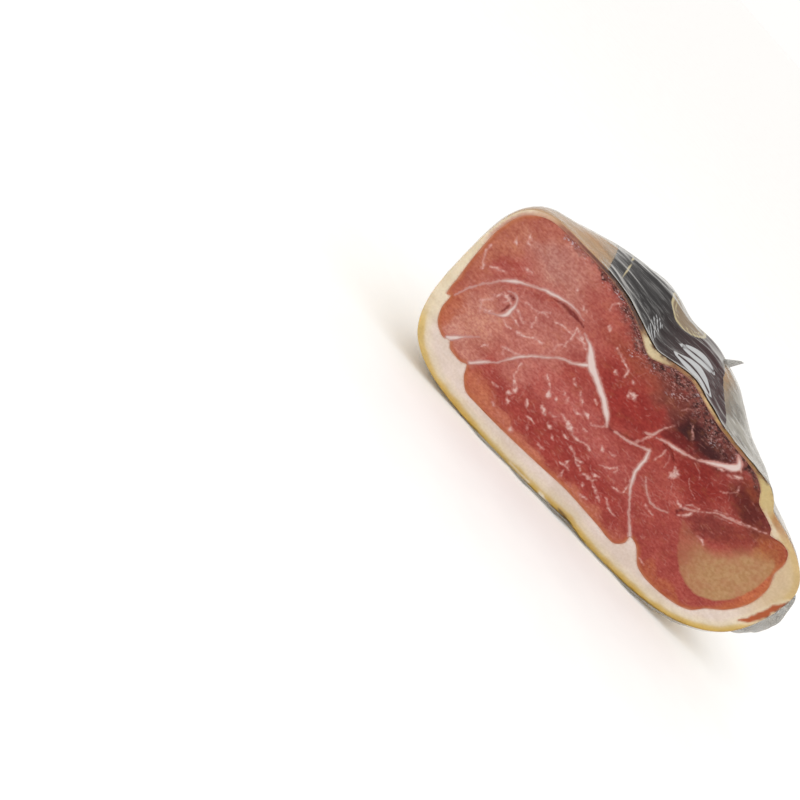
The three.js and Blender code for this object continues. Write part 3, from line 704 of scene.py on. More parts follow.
def shrink_film():
    """Shrunk polyamide film, printed in solid inks on its label side and clear elsewhere. Its gloss
    is partly painted: pale painted highlights streak along small folds, and a silvery painted
    reflection covers its far side."""
    material, tree, shader = new_material("printed_shrink_film")
    ink, gold, silver, medal, across, haze, bare = (
        add(tree, ATTRIBUTE, output="Fac", attribute_name=name) for name in FILM_VALUES
    )
    turned = add(tree, "ShaderNodeLayerWeight", {"Blend": 0.5}, "Facing")
    veil = speckle(tree, 9, (3, 1, 1), detail=4)
    streak = speckle(tree, 1.5, (16, 1.3, 1), turn=4, detail=4)
    field = add(tree, MIX, {
        BY: add(tree, RANGE, [across, -40, 30]), A: linear("171313"), B: linear("2e0508"),
    }, COLOUR)
    for reach, colour in ((medal, "806e57"), (gold, "b3a681"), (silver, "b4b6b7")):
        share = add(tree, RANGE, [reach, -0.35, 0.35])
        field = add(tree, MIX, {BY: share, A: field, B: linear(colour)}, COLOUR)
    # painted highlights: pale streaks along the small folds, painted into the print's colour
    painted_fold_streaks = add(tree, RANGE, [streak, 0.52, 0.68, 0, 0.2])
    field = add(tree, MIX, {BY: painted_fold_streaks, A: field, B: linear("a9a8a6")}, COLOUR)
    # painted reflection: the film turns silvery grey where it faces away, on print and clear film
    # alike
    painted_grazing_sheen = add(tree, RANGE, [turned, 0.54, 0.84, 0, 0.9])
    field = add(tree, MIX, {BY: painted_grazing_sheen, A: field, B: linear("b9b8b4")}, COLOUR)
    clear_tone = add(tree, MIX, {
        BY: add(tree, RANGE, [veil, 0.38, 0.6]), A: linear("8e8c85"), B: linear("aeaaa0"),
    }, COLOUR)
    clear_tone = add(tree, MIX, {BY: painted_grazing_sheen, A: clear_tone, B: linear("d3d1ca")}, COLOUR)
    # painted highlights along the clear film's creases
    painted_crease_highlight = add(tree, RANGE, [streak, 0.54, 0.7, 0, 0.45])
    clear_tone = add(tree, MIX, {BY: painted_crease_highlight, A: clear_tone, B: linear("e9e7e2")}, COLOUR)
    printed = add(tree, RANGE, [ink, -0.4, 0.4])

    thin = add(tree, RANGE, [veil, 0.35, 0.7, 0.03, 0.2])
    cloudy = add(tree, RANGE, [veil, 0.3, 0.7, 0.5, 0.8])
    cover = add(tree, MIX, {BY: haze, LOW: thin, HIGH: cloudy}, data_type="FLOAT")
    # the film is made more opaque where it faces away, so that the painted reflection shows
    painted_sheen_cover = add(tree, RANGE, [turned, 0.58, 1, 0, 0.78])
    cover = add(tree, MATH, [cover, painted_sheen_cover], operation="MAXIMUM")
    cover = add(tree, MIX, {BY: printed, LOW: cover, HIGH: 1.0}, data_type="FLOAT")
    cover = add(tree, MIX, {BY: bare, LOW: cover, HIGH: 0.0}, data_type="FLOAT")

    crackle = speckle(tree, 2.5, (3, 1, 1), turn=-8)
    relief = add(tree, BUMP, {"Height": streak, "Distance": 1.0 * MM, "Strength": 0.5})
    relief = add(tree, BUMP, {
        "Height": crackle, "Distance": 0.2 * MM, "Strength": 0.4, "Normal": relief,
    })
    feed(tree, shader, {
        "Base Color": add(tree, MIX, {BY: printed, A: clear_tone, B: field}, COLOUR),
        "Alpha": cover, "Normal": relief, "IOR": 1.53,
        "Specular IOR Level": 0.32,
        "Roughness": add(tree, RANGE, [veil, 0.3, 0.7, 0.16, 0.3]),
    })
    return material


def dried_crumb():
    """Dried crust crumbs: matt brown with a paler, waxier side where fat dried on them."""
    material, tree, shader = new_material("dried_crust")
    patch = speckle(tree, 1.5)
    share = add(tree, RANGE, [patch, 0.4, 0.62])
    feed(tree, shader, {
        "Base Color": add(tree, MIX, {BY: share, A: linear("57302a"), B: linear("8f645b")}, COLOUR),
        "Roughness": add(tree, RANGE, [patch, 0.4, 0.6, 0.6, 0.35]),
        "Normal": add(tree, BUMP, {"Height": patch, "Distance": 0.3 * MM, "Strength": 0.7}),
    })
    return material


def paper_sweep():
    """Matt white background paper with the faintest fibre, so that it reads as plain."""
    material, tree, shader = new_material("white_paper")
    fibre = add(tree, RANGE, [speckle(tree, 40, detail=2), 0.3, 0.7])
    feed(tree, shader, {
        "Base Color": add(tree, MIX, {BY: fibre, A: linear("fcfcfb"), B: linear("fefefd")}, COLOUR),
        "Roughness": 0.9, "Specular IOR Level": 0.1,
    })
    return material


def spindle(x0, z0, x1, z1, half):
    """A fleck's path: thin at both ends, fullest past its middle, and a little bowed."""
    bow = 0.12 * math.sin(3 * x0 + 5 * z0)
    middle = (blend(x0, x1, 0.55) - bow * (z1 - z0), blend(z0, z1, 0.55) + bow * (x1 - x0), half)
    return [(x0, z0, half * 0.35), middle, (x1, z1, half * 0.25)]


def fine_flecks():
    """Seeded short strokes of marbling."""
    draw = random.Random(FLECK_SEED)
    flecks = []
    for field in FINE_FLECKS:
        for _ in range(field["count"]):
            x, z = draw.uniform(*field["x"]), draw.uniform(*field["z"])
            turn = math.radians(draw.gauss(*field["slope"]))
            length = draw.uniform(*field["long"])
            half = draw.uniform(*field["half"])
            ends = x, z, x + length * math.cos(turn), z + length * math.sin(turn)
            flecks.append(spindle(*ends, half))
    return flecks


def deepest(points, paths):
    """How far inside the nearest of several tapered lines each point lies."""
    return np.maximum.reduce([reach_of(points, path) for path in paths])


def warped(points, size, reach, seed):
    """The points pushed about by noise, which frays whatever is measured from them."""
    push = np.stack([ripple(points, size, seed), ripple(points, size, seed + 1)], axis=1)
    return points + reach * push


def lean_tone(points):
    """The muscles' own reds, as soft blobs of tone with ragged ends, and painted shade along the gaps
    between them.
    """
    colour = np.tile(linear(LEAN_TONE), (len(points), 1))
    # painted shade in the deep gaps between muscles
    dark = ramp(-0.9, 0.5, deepest(warped(points, 4, 0.6, 65), SHADED_GAP_LINES))
    points = warped(warped(points, 13, 7, 61), 4, 2.5, 63)
    for value, strength, x, z, wide, high, turn in LEAN_TONES:
        c, s = math.cos(math.radians(turn)), math.sin(math.radians(turn))
        dx, dz = points[:, 0] - x, points[:, 1] - z
        off = np.hypot((dx * c + dz * s) / wide, (dz * c - dx * s) / high)
        share = strength * ramp(1.45, 0.45, off)
        colour = blend(colour, np.array(linear(value)), share[:, None])
    return blend(colour, np.array(linear(GAP_SHADE_TONE)), 0.85 * dark[:, None])


def height_over(x, ring):
    """Height of a ring's upper side at x."""
    upper = ring[ring[:, 1] > 0]
    order = np.argsort(upper[:, 0])
    return np.interp(x, upper[order, 0], upper[order, 1])


ham_outline = spline(HAM_EDGE, EDGE_STEPS, True)
lean_points = [
    *label_side_of_lean(ham_outline), *BUTT_MUSCLE, *HEEL_MUSCLE, *EYE_MUSCLE, *ROUND_MUSCLE,
    *SHANK_MUSCLE, *TIP_MUSCLE,
]
lean_outline = spline(lean_points, EDGE_STEPS, True)
ham_ring = spline(ham_outline, HAM_RING_STEPS, True)
lean_ring = spline(lean_outline, LEAN_RING_STEPS, True)


def triangulated_face():
    """One fine triangle net over the whole cut, split along the lean's edge."""
    low, high = ham_ring.min(axis=0), ham_ring.max(axis=0)
    fine = hex_grid(low, high, LEAN_GRID)
    coarse = hex_grid(low, high, BAND_GRID)
    in_lean = depth_inside(fine, lean_ring)
    band_in, band_out = depth_inside(coarse, ham_ring), depth_inside(coarse, lean_ring)
    inner = fine[in_lean > FACE_MARGIN]
    middle = coarse[(band_in > BAND_MARGIN) & (band_out < -BAND_MARGIN)]
    points = np.vstack([ham_ring, lean_ring, inner, middle])
    h, m = len(ham_ring), len(lean_ring)
    rings = [list(range(h)), list(range(h, h + m))]
    edges = [(ring[k - 1], ring[k]) for ring in rings for k in range(len(ring))]
    net = delaunay_2d_cdt([Vector(p) for p in points], edges, [rings[0]], 1, SAME_POINT)
    flat = np.array([tuple(v) for v in net[0]])
    place = {}
    for new, olds in enumerate(net[3]):
        for old in olds:
            place[old] = new
    faces = np.array(net[2])
    a, b, c = (flat[faces[:, k]] for k in range(3))
    turn = (b[:, 0] - a[:, 0]) * (c[:, 1] - a[:, 1]) - (b[:, 1] - a[:, 1]) * (c[:, 0] - a[:, 0])
    faces[turn < 0] = faces[turn < 0][:, ::-1]
    lean_side = depth_inside(flat[faces].mean(axis=1), lean_ring) > 0
    ham_order = [place[k] for k in rings[0]]
    lean_order = [place[k] for k in rings[1]]
    return flat, faces, lean_side, ham_order, lean_order


def only_used(flat, faces, *orders):
    """The points that the faces use, renumbered along with the faces and rings."""
    used = np.unique(faces)
    new = np.full(len(flat), -1)
    new[used] = np.arange(len(used))
    return flat[used], new[faces], *[new[np.array(order)].tolist() for order in orders]


flat_face, face_triangles, is_lean, ham_order, lean_order = triangulated_face()

# The cut face of the lean
SEAM_RISE = 0.45
FLECK_RISE = 0.12
CRACK_DEPTH = 1.6
UNDULATION = (0.35, 28)        # height and width of its slow waves, mm
DRY_RELIEF = (0.5, 3.2)        # height and width of the crust's knobs, mm
EDGE_FADE = 2.0                # all relief fades out this close to the lean's edge
# Dried crust under the label edge: x, how far down it reaches, how dark, and how much painted
# glint (painted highlight) it carries
CRUST_ALONG = [
    (-128, 1, 0, 0), (-112, 3, 0.3, 0.5), (-104, 3, 0.35, 0.95), (-82, 3, 0.4, 0.6),
    (-60, 6, 0.7, 0.95), (-48, 9, 1.0, 0.6), (-34, 10, 1.2, 0.6), (-16, 9, 1.2, 0.7),
    (5, 15, 1.2, 0.9), (22, 14, 1.2, 0.6), (40, 13, 1.3, 0.5), (52, 17, 1.2, 0.8),
    (66, 15, 1.1, 0.7), (78, 6, 1.1, 0.2), (95, 7, 1.1, 0.1), (108, 2, 0.2, 0),
]
# Fields of painted glints (painted highlights) further down: x, z and two radii
PAINTED_GLINT_FIELDS = [
    (-18, 46, 16, 5), (14, 49, 12, 9), (57, 46, 10, 6), (86, 38.5, 5, 2.4), (-98, 63.5, 15, 3.8),
    (-68, 62.5, 15, 4.2), (-50, 59, 8, 5),
]
RIM_WIDTH = 4.2                # the lean dries orange this close to the fat, mm
CRUMB_SHARE = 0.45             # crumbs lie where the crust is darker than this
CRUMB_CLEARANCE = 0.6          # and this far off the seam fat, mm
STRAND_EXTRA = 0.04            # added to every strand's half width, mm
LEAN_LEVELS = 12
LEAN_SINK = 0.3                # the lean's hidden sides keep this clear of the fat


def tan_share(points):
    """How far into the tan patch each point is: sharp below and at the right, melting into red above.
    """
    loose = warped(points, 4, 0.7, 71)
    inside = depth_inside(loose, spline(TAN_PATCH, 8, True))
    x, z = points.T
    near_top = ramp(14, 4, -reach_of(loose, TAN_TOP))
    width = blend(1.6, blend(4, 14, ramp(104, 124, x)), near_top)
    faded = blend(0.95, 0.2, ramp(130, 92, x)) * blend(1, 0.55, ramp(4, 18, z))
    return faded * ramp(-0.3, 1, inside / width)


def crust_shares(points):
    """How dark with dried crust each point is, and how much painted glint (painted highlight) it
    carries.
    """
    x, z = points.T
    at, *tracks = np.array(CRUST_ALONG).T
    reach, dark, painted_glint = (np.interp(x, at, track) for track in tracks)
    frayed = 3 * ripple(points, 6, 8) + 1.5 * ripple(points, 2, 9)
    under = height_over(x, lean_ring) - z + frayed
    patchy = 0.75 + 0.6 * ripple(points * (0.6, 1), 4, 5)
    dark = dark * ramp(reach, reach * 0.2, under) * patchy
    line = blend(0.45, 0.95, ramp(-90, -78, x)) * ramp(-118, -110, x) * ramp(104, 96, x)
    dark = np.maximum(dark, line * ramp(2.8, 1.2, under))
    painted_glint = painted_glint * ramp(reach + 1, reach * 0.4, under)
    for at_x, at_z, wide, high in PAINTED_GLINT_FIELDS:
        off = np.hypot((x - at_x) / wide, (z + frayed * 0.5 - at_z) / high)
        painted_glint = np.maximum(painted_glint, 0.95 * ramp(1.15, 0.4, off))
    return np.clip(dark, 0, 1), np.clip(painted_glint, 0, 1)


# What the lean's shader reads at each point, besides its tone
LEAN_VALUES = ("seam", "marbling", "fine", "tan", "crust", "painted_glint", "rim")


def make_lean(material):
    points, faces, order = only_used(flat_face, face_triangles[is_lean], lean_order)
    pushed = warped(warped(points, 5, 0.6, 1), 2, 0.15, 12)
    seam = deepest(pushed, [spline(path, SEAM_STEPS, False) for path in SEAMS.values()])
    seam = seam + 0.25 * ripple(points, 3, 14)
    crack = reach_of(pushed, spline(CRACK, SEAM_STEPS, False))
    strands = [[(x, z, half + STRAND_EXTRA) for x, z in turns] for turns, half in STRANDS]
    loose = warped(warped(points, 4, 0.8, 15), 1.7, 0.5, 17)
    marbling = deepest(loose, [spindle(*fleck) for fleck in FLECKS] + strands)
    fine = deepest(loose, fine_flecks())
    tan = tan_share(points)
    crust, painted_glint = crust_shares(points)
    edge = depth_inside(points, lean_ring)
    # the label side has no orange rim, and the rim wanders elsewhere
    on_label = ramp(*LABEL_RISE, points[:, 1]) * ramp(-132, -122, points[:, 0])
    rim = edge + 0.9 * ripple(points, 5, 19) + 9 * on_label

    fade = ramp(0, EDGE_FADE, edge)
    rise = SEAM_RISE * ramp(-0.4, 0.9, seam) + FLECK_RISE * ramp(-0.4, 0.3, marbling)
    rise = rise + UNDULATION[0] * ripple(points, UNDULATION[1], 3)
    rise = rise + DRY_RELIEF[0] * crust * ripple(points, DRY_RELIEF[1], 4)
    rise = rise - CRACK_DEPTH * ramp(-0.6, 0.5, crack)
    front = np.stack([points[:, 0], -rise * fade, points[:, 1]], axis=1)

    skin = body_skin(lean_outline, LEAN_RING_STEPS, LEAN_LEVELS, LEAN_DEPTH)[1:]
    skin = skin - outward(skin) * LEAN_SINK
    columns = len(order)
    first = len(front)
    pole = first + (LEAN_LEVELS - 1) * columns
    all_points = np.vstack([front, skin.reshape(-1, 3), [MIDDLE[0], LEAN_DEPTH, MIDDLE[1]]])
    joining = ring_faces(order, range(first, first + columns))
    sides = skin_faces(LEAN_LEVELS - 1, columns, first, pole)
    hidden = len(all_points) - first

    def padded(value, rest):
        return np.concatenate([value, np.full(hidden, rest)])

    tone = np.vstack([lean_tone(points), np.tile(linear(LEAN_TONE), (hidden, 1))])
    # the hidden sides are plain: far from every line and from the fat
    plain = (-9.0, -9.0, -9.0, 0.0, 0.0, 0.0, 9.0)
    shown = zip(LEAN_VALUES, (seam, marbling, fine, tan, crust, painted_glint, rim), plain)
    values = {"tone": tone, **{name: padded(value, rest) for name, value, rest in shown}}
    piece = mesh_piece("cut_lean", all_points, faces.tolist() + joining + sides, material, values)
    band = crust_band(front, faces, np.where(seam < -CRUMB_CLEARANCE, crust, 0))
    return piece, band


def crust_band(front, faces, crust):
    """The part of the cut face that carries loose crumbs, as points and faces."""
    points, kept = only_used(front, faces[(crust[faces] > CRUMB_SHARE).all(axis=1)])
    return points, kept.tolist()


# The fat: the band round the lean at the cut, and its outside under the film
FAT_LEVELS = 56
INNER_LEVELS = 12
YELLOW_REACH = 6.0             # air has yellowed the fat this far in from its outside, mm
STREAK = [(178, 4, 0.8), (176, -6, 2.3), (175, -15, 2.7), (173, -22, 2.2), (169, -30, 0.7)]
BROWN_SPOT = [(27, -67.8, 0.4), (33, -68.3, 0.8), (40, -68.8, 0.5)]
FAT_TONES = {
    "inner": "ddccc1", "cream": "dccdb2", "gold": "cdb06c", "yellow": "c9a54c",
    "line": "a98140", "right": "c4a673", "streak": "a64806", "brown": "5d3a28",
    "haze": "bb9084", "blush": "c3876c", "painted_glint": "efe9dd", "rind": "cdab68", "label": "a3722c",
}
# Tones of the thin dried edge on the label side, by x
LABEL_EDGE = [
    (-140, "d2bda4"), (-120, "b98f6a"), (-113, "8f5545"), (-100, "85493a"), (-84, "66392d"),
    (-76, "3f2c29"), (-36, "4a2f26"), (-31, "93714c"), (-25, "cdbd98"), (-8, "c9b58d"), (-1, "8d5d38"),
    (10, "a57a4e"), (22, "b58f5e"), (32, "c9ab7c"), (46, "b38f58"), (54, "8f6a2c"),
    (74, "85562d"), (92, "a07a42"), (100, "c9b47c"), (118, "c4ab76"), (126, "a8733c"),
    (138, "a5652f"), (150, "b58a5a"),
]


def tone_along(x, stops):
    places = [stop for stop, _ in stops]
    shades = np.array([linear(value) for _, value in stops])
    return np.stack([np.interp(x, places, shades[:, k]) for k in range(4)], axis=1)


def fat_tone(points):
    """Colour of the cut fat by how deep it lies, where it is, and how it dried, with painted
    highlights of film glints along its low edge.
    """
    flat = points[:, [0, 2]]
    x, z = flat.T
    tones = {name: np.array(linear(value)) for name, value in FAT_TONES.items()}
    deep = depth_inside(flat, ham_ring)
    ragged = deep + 1.2 * ripple(flat, 9, 21)
    colour = np.tile(tones["inner"], (len(points), 1))

    def paint(tone, share):
        nonlocal colour
        colour = blend(colour, tone, np.clip(share, 0, 1)[:, None])

    low = ramp(-10, -45, z)
    at_right = ramp(115, 155, x)
    yellowing = np.maximum.reduce([low, 0.8 * at_right, 0.3 + 0 * x])
    paint(tones["cream"], 0.9 * ramp(YELLOW_REACH * 2.0, YELLOW_REACH * 0.8, ragged))
    paint(tones["gold"], yellowing * ramp(YELLOW_REACH, YELLOW_REACH * 0.45, ragged))
    off_butt = ramp(-124, -84, x)
    paint(tones["yellow"], low * off_butt * ramp(YELLOW_REACH * 0.6, 0.8, ragged))
    paint(tones["right"], 0.7 * at_right * ramp(-40, 0, z))
    paint(tones["line"], low * off_butt * 0.7 * ramp(1.0, 0.2, deep))
    at_butt = ramp(-118, -130, x)
    paint(tones["cream"], 0.8 * at_butt * ramp(-46, -30, z))
    paint(tones["haze"], 0.85 * at_butt * ramp(18, 34, z) * ramp(0.7, 2, deep))
    # painted highlights: white glints of the film along the fat's low edge
    wet = ramp(-30, -20, x) * ramp(34, 20, x) * ramp(0.1, 0.4, ripple(flat * (0.35, 1.5), 3, 24))
    paint(tones["painted_glint"], 0.8 * low * wet * ramp(3.2, 1.2, deep))
    on_label = ramp(*LABEL_RISE, z) * ramp(-140, -128, x)
    at_edge = ramp(4.5, 2.5, deep) * ramp(150, 120, x) + ramp(124, 112, x)
    paint(tone_along(x + 3 * ripple(flat, 5, 25), LABEL_EDGE), on_label * at_edge)
    broken = ramp(-0.1, 0.5, ripple(flat * (1, 2.2), 4, 22)) * ramp(-116, -108, x)
    broken = broken * ramp(120, 96, x)
    paint(tones["brown"], on_label * broken * ramp(1.8, 0.4, deep))
    under = -depth_inside(flat, lean_ring)
    paint(tones["brown"], on_label * ramp(112, 96, x) * ramp(-84, -74, x) * ramp(1.0, 0.2, under))
    sheer = blend(0.9, 2.6, at_butt * ramp(22, 38, z))
    paint(tones["blush"], 0.6 * ramp(sheer, 0.1, under))
    streak = reach_of(warped(flat, 4, 1.4, 81), spline(STREAK, SEAM_STEPS, False))
    paint(tones["cream"], 0.6 * ramp(-3.2, -1, streak))
    paint(tones["streak"], ramp(-0.8, 0.8, streak))
    paint(tones["brown"], 0.75 * ramp(-1.4, 0.2, streak) * ramp(1.5, 0.3, deep))
    paint(tones["brown"], ramp(-0.6, 0.6, reach_of(flat, BROWN_SPOT)))
    return colour


def skin_tone(points):
    """Colour of the outside: golden rind below, browner dried fat on the label side."""
    tones = {name: np.array(linear(value)) for name, value in FAT_TONES.items()}
    share = ramp(-20, 40, points[:, 2])[:, None]
    colour = blend(tones["rind"], tones["label"], share)
    pale = (0.5 + 0.5 * ripple(points, 26, 23))[:, None]
    return blend(colour, tones["cream"], 0.3 * pale)


def make_fat(material):
    points, faces, outer, inner = only_used(
        flat_face, face_triangles[~is_lean], ham_order, lean_order)
    edge = depth_inside(points, ham_ring)
    gap = -depth_inside(points, lean_ring)
    rise = 0.35 * ripple(points, 16, 31) * ramp(0, 2.0, np.minimum(edge, gap))
    front = np.stack([points[:, 0], -rise, points[:, 1]], axis=1)

    skin = body_skin(ham_outline, HAM_RING_STEPS, FAT_LEVELS, HAM_DEPTH)[1:]
    lining = body_skin(lean_outline, LEAN_RING_STEPS, INNER_LEVELS, LEAN_DEPTH)[1:]
    lining = lining + outward(lining) * LEAN_SINK / 2
    m, n = len(outer), len(inner)
    first, second = len(front), len(front) + skin.shape[0] * m + 1
    outer_pole, inner_pole = second - 1, second + lining.shape[0] * n
    all_points = np.vstack([
        front, skin.reshape(-1, 3), [MIDDLE[0], HAM_DEPTH, MIDDLE[1]],
        lining.reshape(-1, 3), [MIDDLE[0], LEAN_DEPTH + LEAN_SINK, MIDDLE[1]],
    ])
    all_faces = faces.tolist()
    all_faces += ring_faces(outer, range(first, first + m))
    all_faces += skin_faces(skin.shape[0], m, first, outer_pole)
    to_lining = ring_faces(inner, range(second, second + n))
    all_faces += [(a, d, c, b) for a, b, c, d in to_lining]
    all_faces += skin_faces(lining.shape[0], n, second, inner_pole, flipped=True)

    on_skin = np.zeros(len(all_points))
    on_skin[first:] = 1
    front_tone = fat_tone(front)
    tone = np.vstack([front_tone, skin_tone(all_points[first:])])
    return mesh_piece("fat_layer", all_points, all_faces, material, {"tone": tone, "skin": on_skin})


# The film
FILM_STAND = 0.25              # the film lies this far off the fat
FILM_WALL = 0.25
FILM_RING_STEPS = 5
FILM_LEVELS = 104
FILM_CROWDING = 1.25
LONG_FOLDS = [
    (-70, 9, 40, 16, 1.1), (-95, 21, 20, 27, 1.0), (-60, 31, 60, 38, 1.2), (-80, 44, 10, 48, 1.0),
    (-30, 58, 70, 52, 1.1), (-90, 66, -10, 70, 1.0),
]
SMALL_FOLDS = {"count": 95, "x": (-110, 105), "b": (2, 105), "long": (18, 75), "seed": 19}
FOLD_WIDTH = 1.6
FOLD_SWAY = 1.6                # how far a fold strays from its line, mm
RIND_LIP = 3.2                 # how far the film's cut edge stands out under the rind
CREASE = (0.5, 7)              # height and width of the film's own unevenness, mm

# The print: fields in label millimetres, across (x) and back from the cut
PRINT_FIELD = [
    (-76, -20), (54, -20), (53, 7), (50, 14), (43, 22), (35, 33), (29, 56), (26, 100),
    (21, 104), (-72, 104), (-76, 100),
]
PRINT_FRAME = {"low": (-64, -30), "high": (90, 93), "half": 0.8}
LEAVES = [
    {"centre": (14, 10.5), "half": (20, 7), "turn": -5, "vein": 0.9},
    {"centre": (12, 25), "half": (17, 5.2), "turn": 5, "vein": 0.8},
]
HATCHING = {"low": (-31, 4), "high": (-21, 24), "step": 3.6, "half": 0.6, "slant": 0.7}
MEDALLION = {"centre": (-9, 50), "size": (18, 13), "rim": 0.8}
FILM_VALUES = ("ink", "gold", "silver", "medal", "across", "haze", "bare")


def box_reach(a, b, low, high, round_by=0.0):
    """How far inside a rectangle each label point lies, in mm."""
    mid = np.add(low, high) / 2
    half = np.subtract(high, low) / 2 - round_by
    da, db = abs(a - mid[0]) - half[0], abs(b - mid[1]) - half[1]
    outside = np.hypot(np.maximum(da, 0), np.maximum(db, 0))
    return round_by - outside - np.minimum(np.maximum(da, db), 0)


def leaf_reach(a, b, centre, half, turn, vein):
    """A pointed leaf with a bare vein along its middle."""
    c, s = math.cos(math.radians(turn)), math.sin(math.radians(turn))
    along = (a - centre[0]) * c + (b - centre[1]) * s
    off = abs((b - centre[1]) * c - (a - centre[0]) * s)
    share = np.clip(1 - (along / half[0]) ** 2, 0, 1)
    return np.minimum(half[1] * share - off, np.where(share > 0.3, off - vein, FAR))


def oval_reach(a, b, centre, size):
    return (1 - np.hypot((a - centre[0]) / size[0], (b - centre[1]) / size[1])) * min(size)


def close_points(corners, step):
    """A straight-sided ring with points at most a step apart."""
    ring = []
    for start, end in zip(corners, corners[1:] + corners[:1]):
        count = max(1, math.ceil(math.dist(start, end) / step))
        ring += [blend(np.array(start), np.array(end), k / count) for k in range(count)]
    return np.array(ring, float)


def print_fields(a, b, on_label, labelward):
    """Signed reaches of each printed field, for the film's shader."""
    label = np.stack([a, b], axis=1)
    ink = np.where(on_label, depth_inside(label, close_points(PRINT_FIELD, 1.0)), -FAR)
    frame_line = abs(box_reach(a, b, PRINT_FRAME["low"], PRINT_FRAME["high"]))
    gold = PRINT_FRAME["half"] - frame_line
    medal = oval_reach(a, b, MEDALLION["centre"], MEDALLION["size"])
    gold = np.maximum(gold, MEDALLION["rim"] - abs(medal))
    gold = np.maximum(gold, MEDALLION["rim"] / 2 - abs(medal - 3))
    silver = np.maximum.reduce([leaf_reach(a, b, **leaf) for leaf in LEAVES])
    slanted = (b + HATCHING["slant"] * a) % HATCHING["step"]
    lines = HATCHING["half"] - abs(slanted - HATCHING["step"] / 2)
    patch = box_reach(a, b, HATCHING["low"], HATCHING["high"], 1.5)
    silver = np.maximum(silver, np.minimum(lines, patch))
    # the film is thicker and cloudier past the print, towards the shank
    haze = 0.1 + 0.9 * ramp(34, 60, a) * ramp(150, 100, a) * ramp(80, 30, b) * labelward
    # at the butt and below, it lies so close that its edge can't be seen
    tight = blend(0.65, 0.5 * ramp(-80, -90, a), labelward)
    to_edge = np.maximum(ramp(-80, -88, a), ramp(92, 108, a)) * ramp(9, 2, b)
    bare = blend(tight, 1, np.where(on_label, to_edge, ramp(14, 4, b)))
    return {
        "ink": ink, "gold": gold, "silver": silver, "medal": medal, "across": a, "haze": haze,
        "bare": bare,
    }


def fold_height(a, b):
    """Long shrink folds over the label side: round ridges that fade at both ends."""
    draw = random.Random(SMALL_FOLDS["seed"])
    folds = list(LONG_FOLDS)
    for _ in range(SMALL_FOLDS["count"]):
        x, start = draw.uniform(*SMALL_FOLDS["x"]), draw.uniform(*SMALL_FOLDS["b"])
        length = draw.uniform(*SMALL_FOLDS["long"])
        folds.append((x, start, x + length, start + draw.gauss(0, 5), draw.uniform(0.25, 0.7)))
    height = np.zeros_like(a)
    for a0, b0, a1, b1, high in folds:
        t = (a - a0) / (a1 - a0)
        line = b0 + (b1 - b0) * t + FOLD_SWAY * np.sin(2 * math.pi * t * 1.3 + a0)
        fade = np.sin(math.pi * np.clip(t, 0, 1))
        width = FOLD_WIDTH * (0.7 + 0.6 * fade)
        height = np.maximum(height, high * fade * np.exp(-((b - line) / width) ** 2))
    return height


def make_film(material):
    skin = body_skin(ham_outline, FILM_RING_STEPS, FILM_LEVELS, HAM_DEPTH, FILM_CROWDING)
    levels, columns = skin.shape[:2]
    steps = np.linalg.norm(np.diff(skin, axis=0), axis=2)
    back = np.vstack([np.zeros(columns), np.cumsum(steps, axis=0)]).ravel()
    across = skin[:, :, 0].ravel()
    on_label = np.tile(skin[0, :, 2] > LABEL_RISE[0], levels)
    labelward = np.tile(ramp(14, 44, skin[0, :, 2]), levels)
    flat = skin.reshape(-1, 3)
    facing_up = ramp(0.1, 0.5, outward(skin)[:, :, 2]).ravel()

    folds = fold_height(across, back) * facing_up
    strokes = np.stack([across / 3, back, flat[:, 2] / 2], axis=1)
    creases = CREASE[0] * ripple(strokes, CREASE[1], 41)
    label = np.stack([across, back], axis=1)
    label_lip = 0.5 * ramp(4, 0, back) * (1 + ripple(label, 8, 42)) * on_label
    label_lip = label_lip * ramp(-100, -80, across) * ramp(104, 88, across)
    off_floor = ramp(REST_Z + 0.2, REST_Z + 6, flat[:, 2])
    stand = FILM_STAND + FILM_WALL + (folds + np.maximum(creases, -0.3) + label_lip) * off_floor
    points = flat + outward(skin).reshape(-1, 3) * stand[:, None]
    pole = len(points)
    points = np.vstack([points, [MIDDLE[0], HAM_DEPTH + FILM_STAND, MIDDLE[1]]])
    values = print_fields(
        np.append(across, 0), np.append(back, FAR), np.append(on_label, False),
        np.append(labelward, 0),
    )
    # under the rind the film's cut edge stands out a little in front of the cut
    x, z = skin[0, :, 0], skin[0, :, 2]
    rind_lip = ramp(-30, -50, z) * ramp(-85, -50, x) * ramp(172, 140, x)
    rind_lip = rind_lip * (0.8 + 0.5 * ripple(skin[0], 14, 43))
    points[:columns, 1] -= RIND_LIP * rind_lip
    for level in (0, 1):
        ring = slice(level * columns, (level + 1) * columns)
        values["bare"][ring] = blend(values["bare"][ring], 0.1, rind_lip)
        values["haze"][ring] = blend(values["haze"][ring], 1.0, rind_lip)
    faces = skin_faces(levels, columns, 0, pole)
    for extra_points, extra_faces in (film_tail(), film_corner()):
        shift = len(points)
        points = np.vstack([points, extra_points])
        faces += [tuple(k + shift for k in face) for face in extra_faces]
        count = len(extra_points)
        thinning = ramp(8, 44, extra_points[:, 1]) * (extra_points[:, 2] < 20)
        rest = {"haze": 0.85 - 0.6 * thinning, "bare": 0.35 + 0.55 * thinning}
        values = {
            name: np.append(value, rest.get(name, np.full(count, -FAR)))
            for name, value in values.items()
        }
    piece = mesh_piece("film_wrap", points, faces, material, values)
    wall = piece.modifiers.new("wall", "SOLIDIFY")
    wall.thickness = FILM_WALL * MM
    wall.offset = -1
    return piece


# The film's gathered end past the shank
TAIL_EDGE = [
    (175.5, 12), (180.5, 9.5), (183, 4), (185, -2), (187.5, -9), (187, -17), (185.3, -24.5),
    (181, -31), (176, -37.5), (171, -40), (169, -14), (171, 6),
]
TAIL_START = 1.6               # the tail's front lies this far back, behind the cut fat
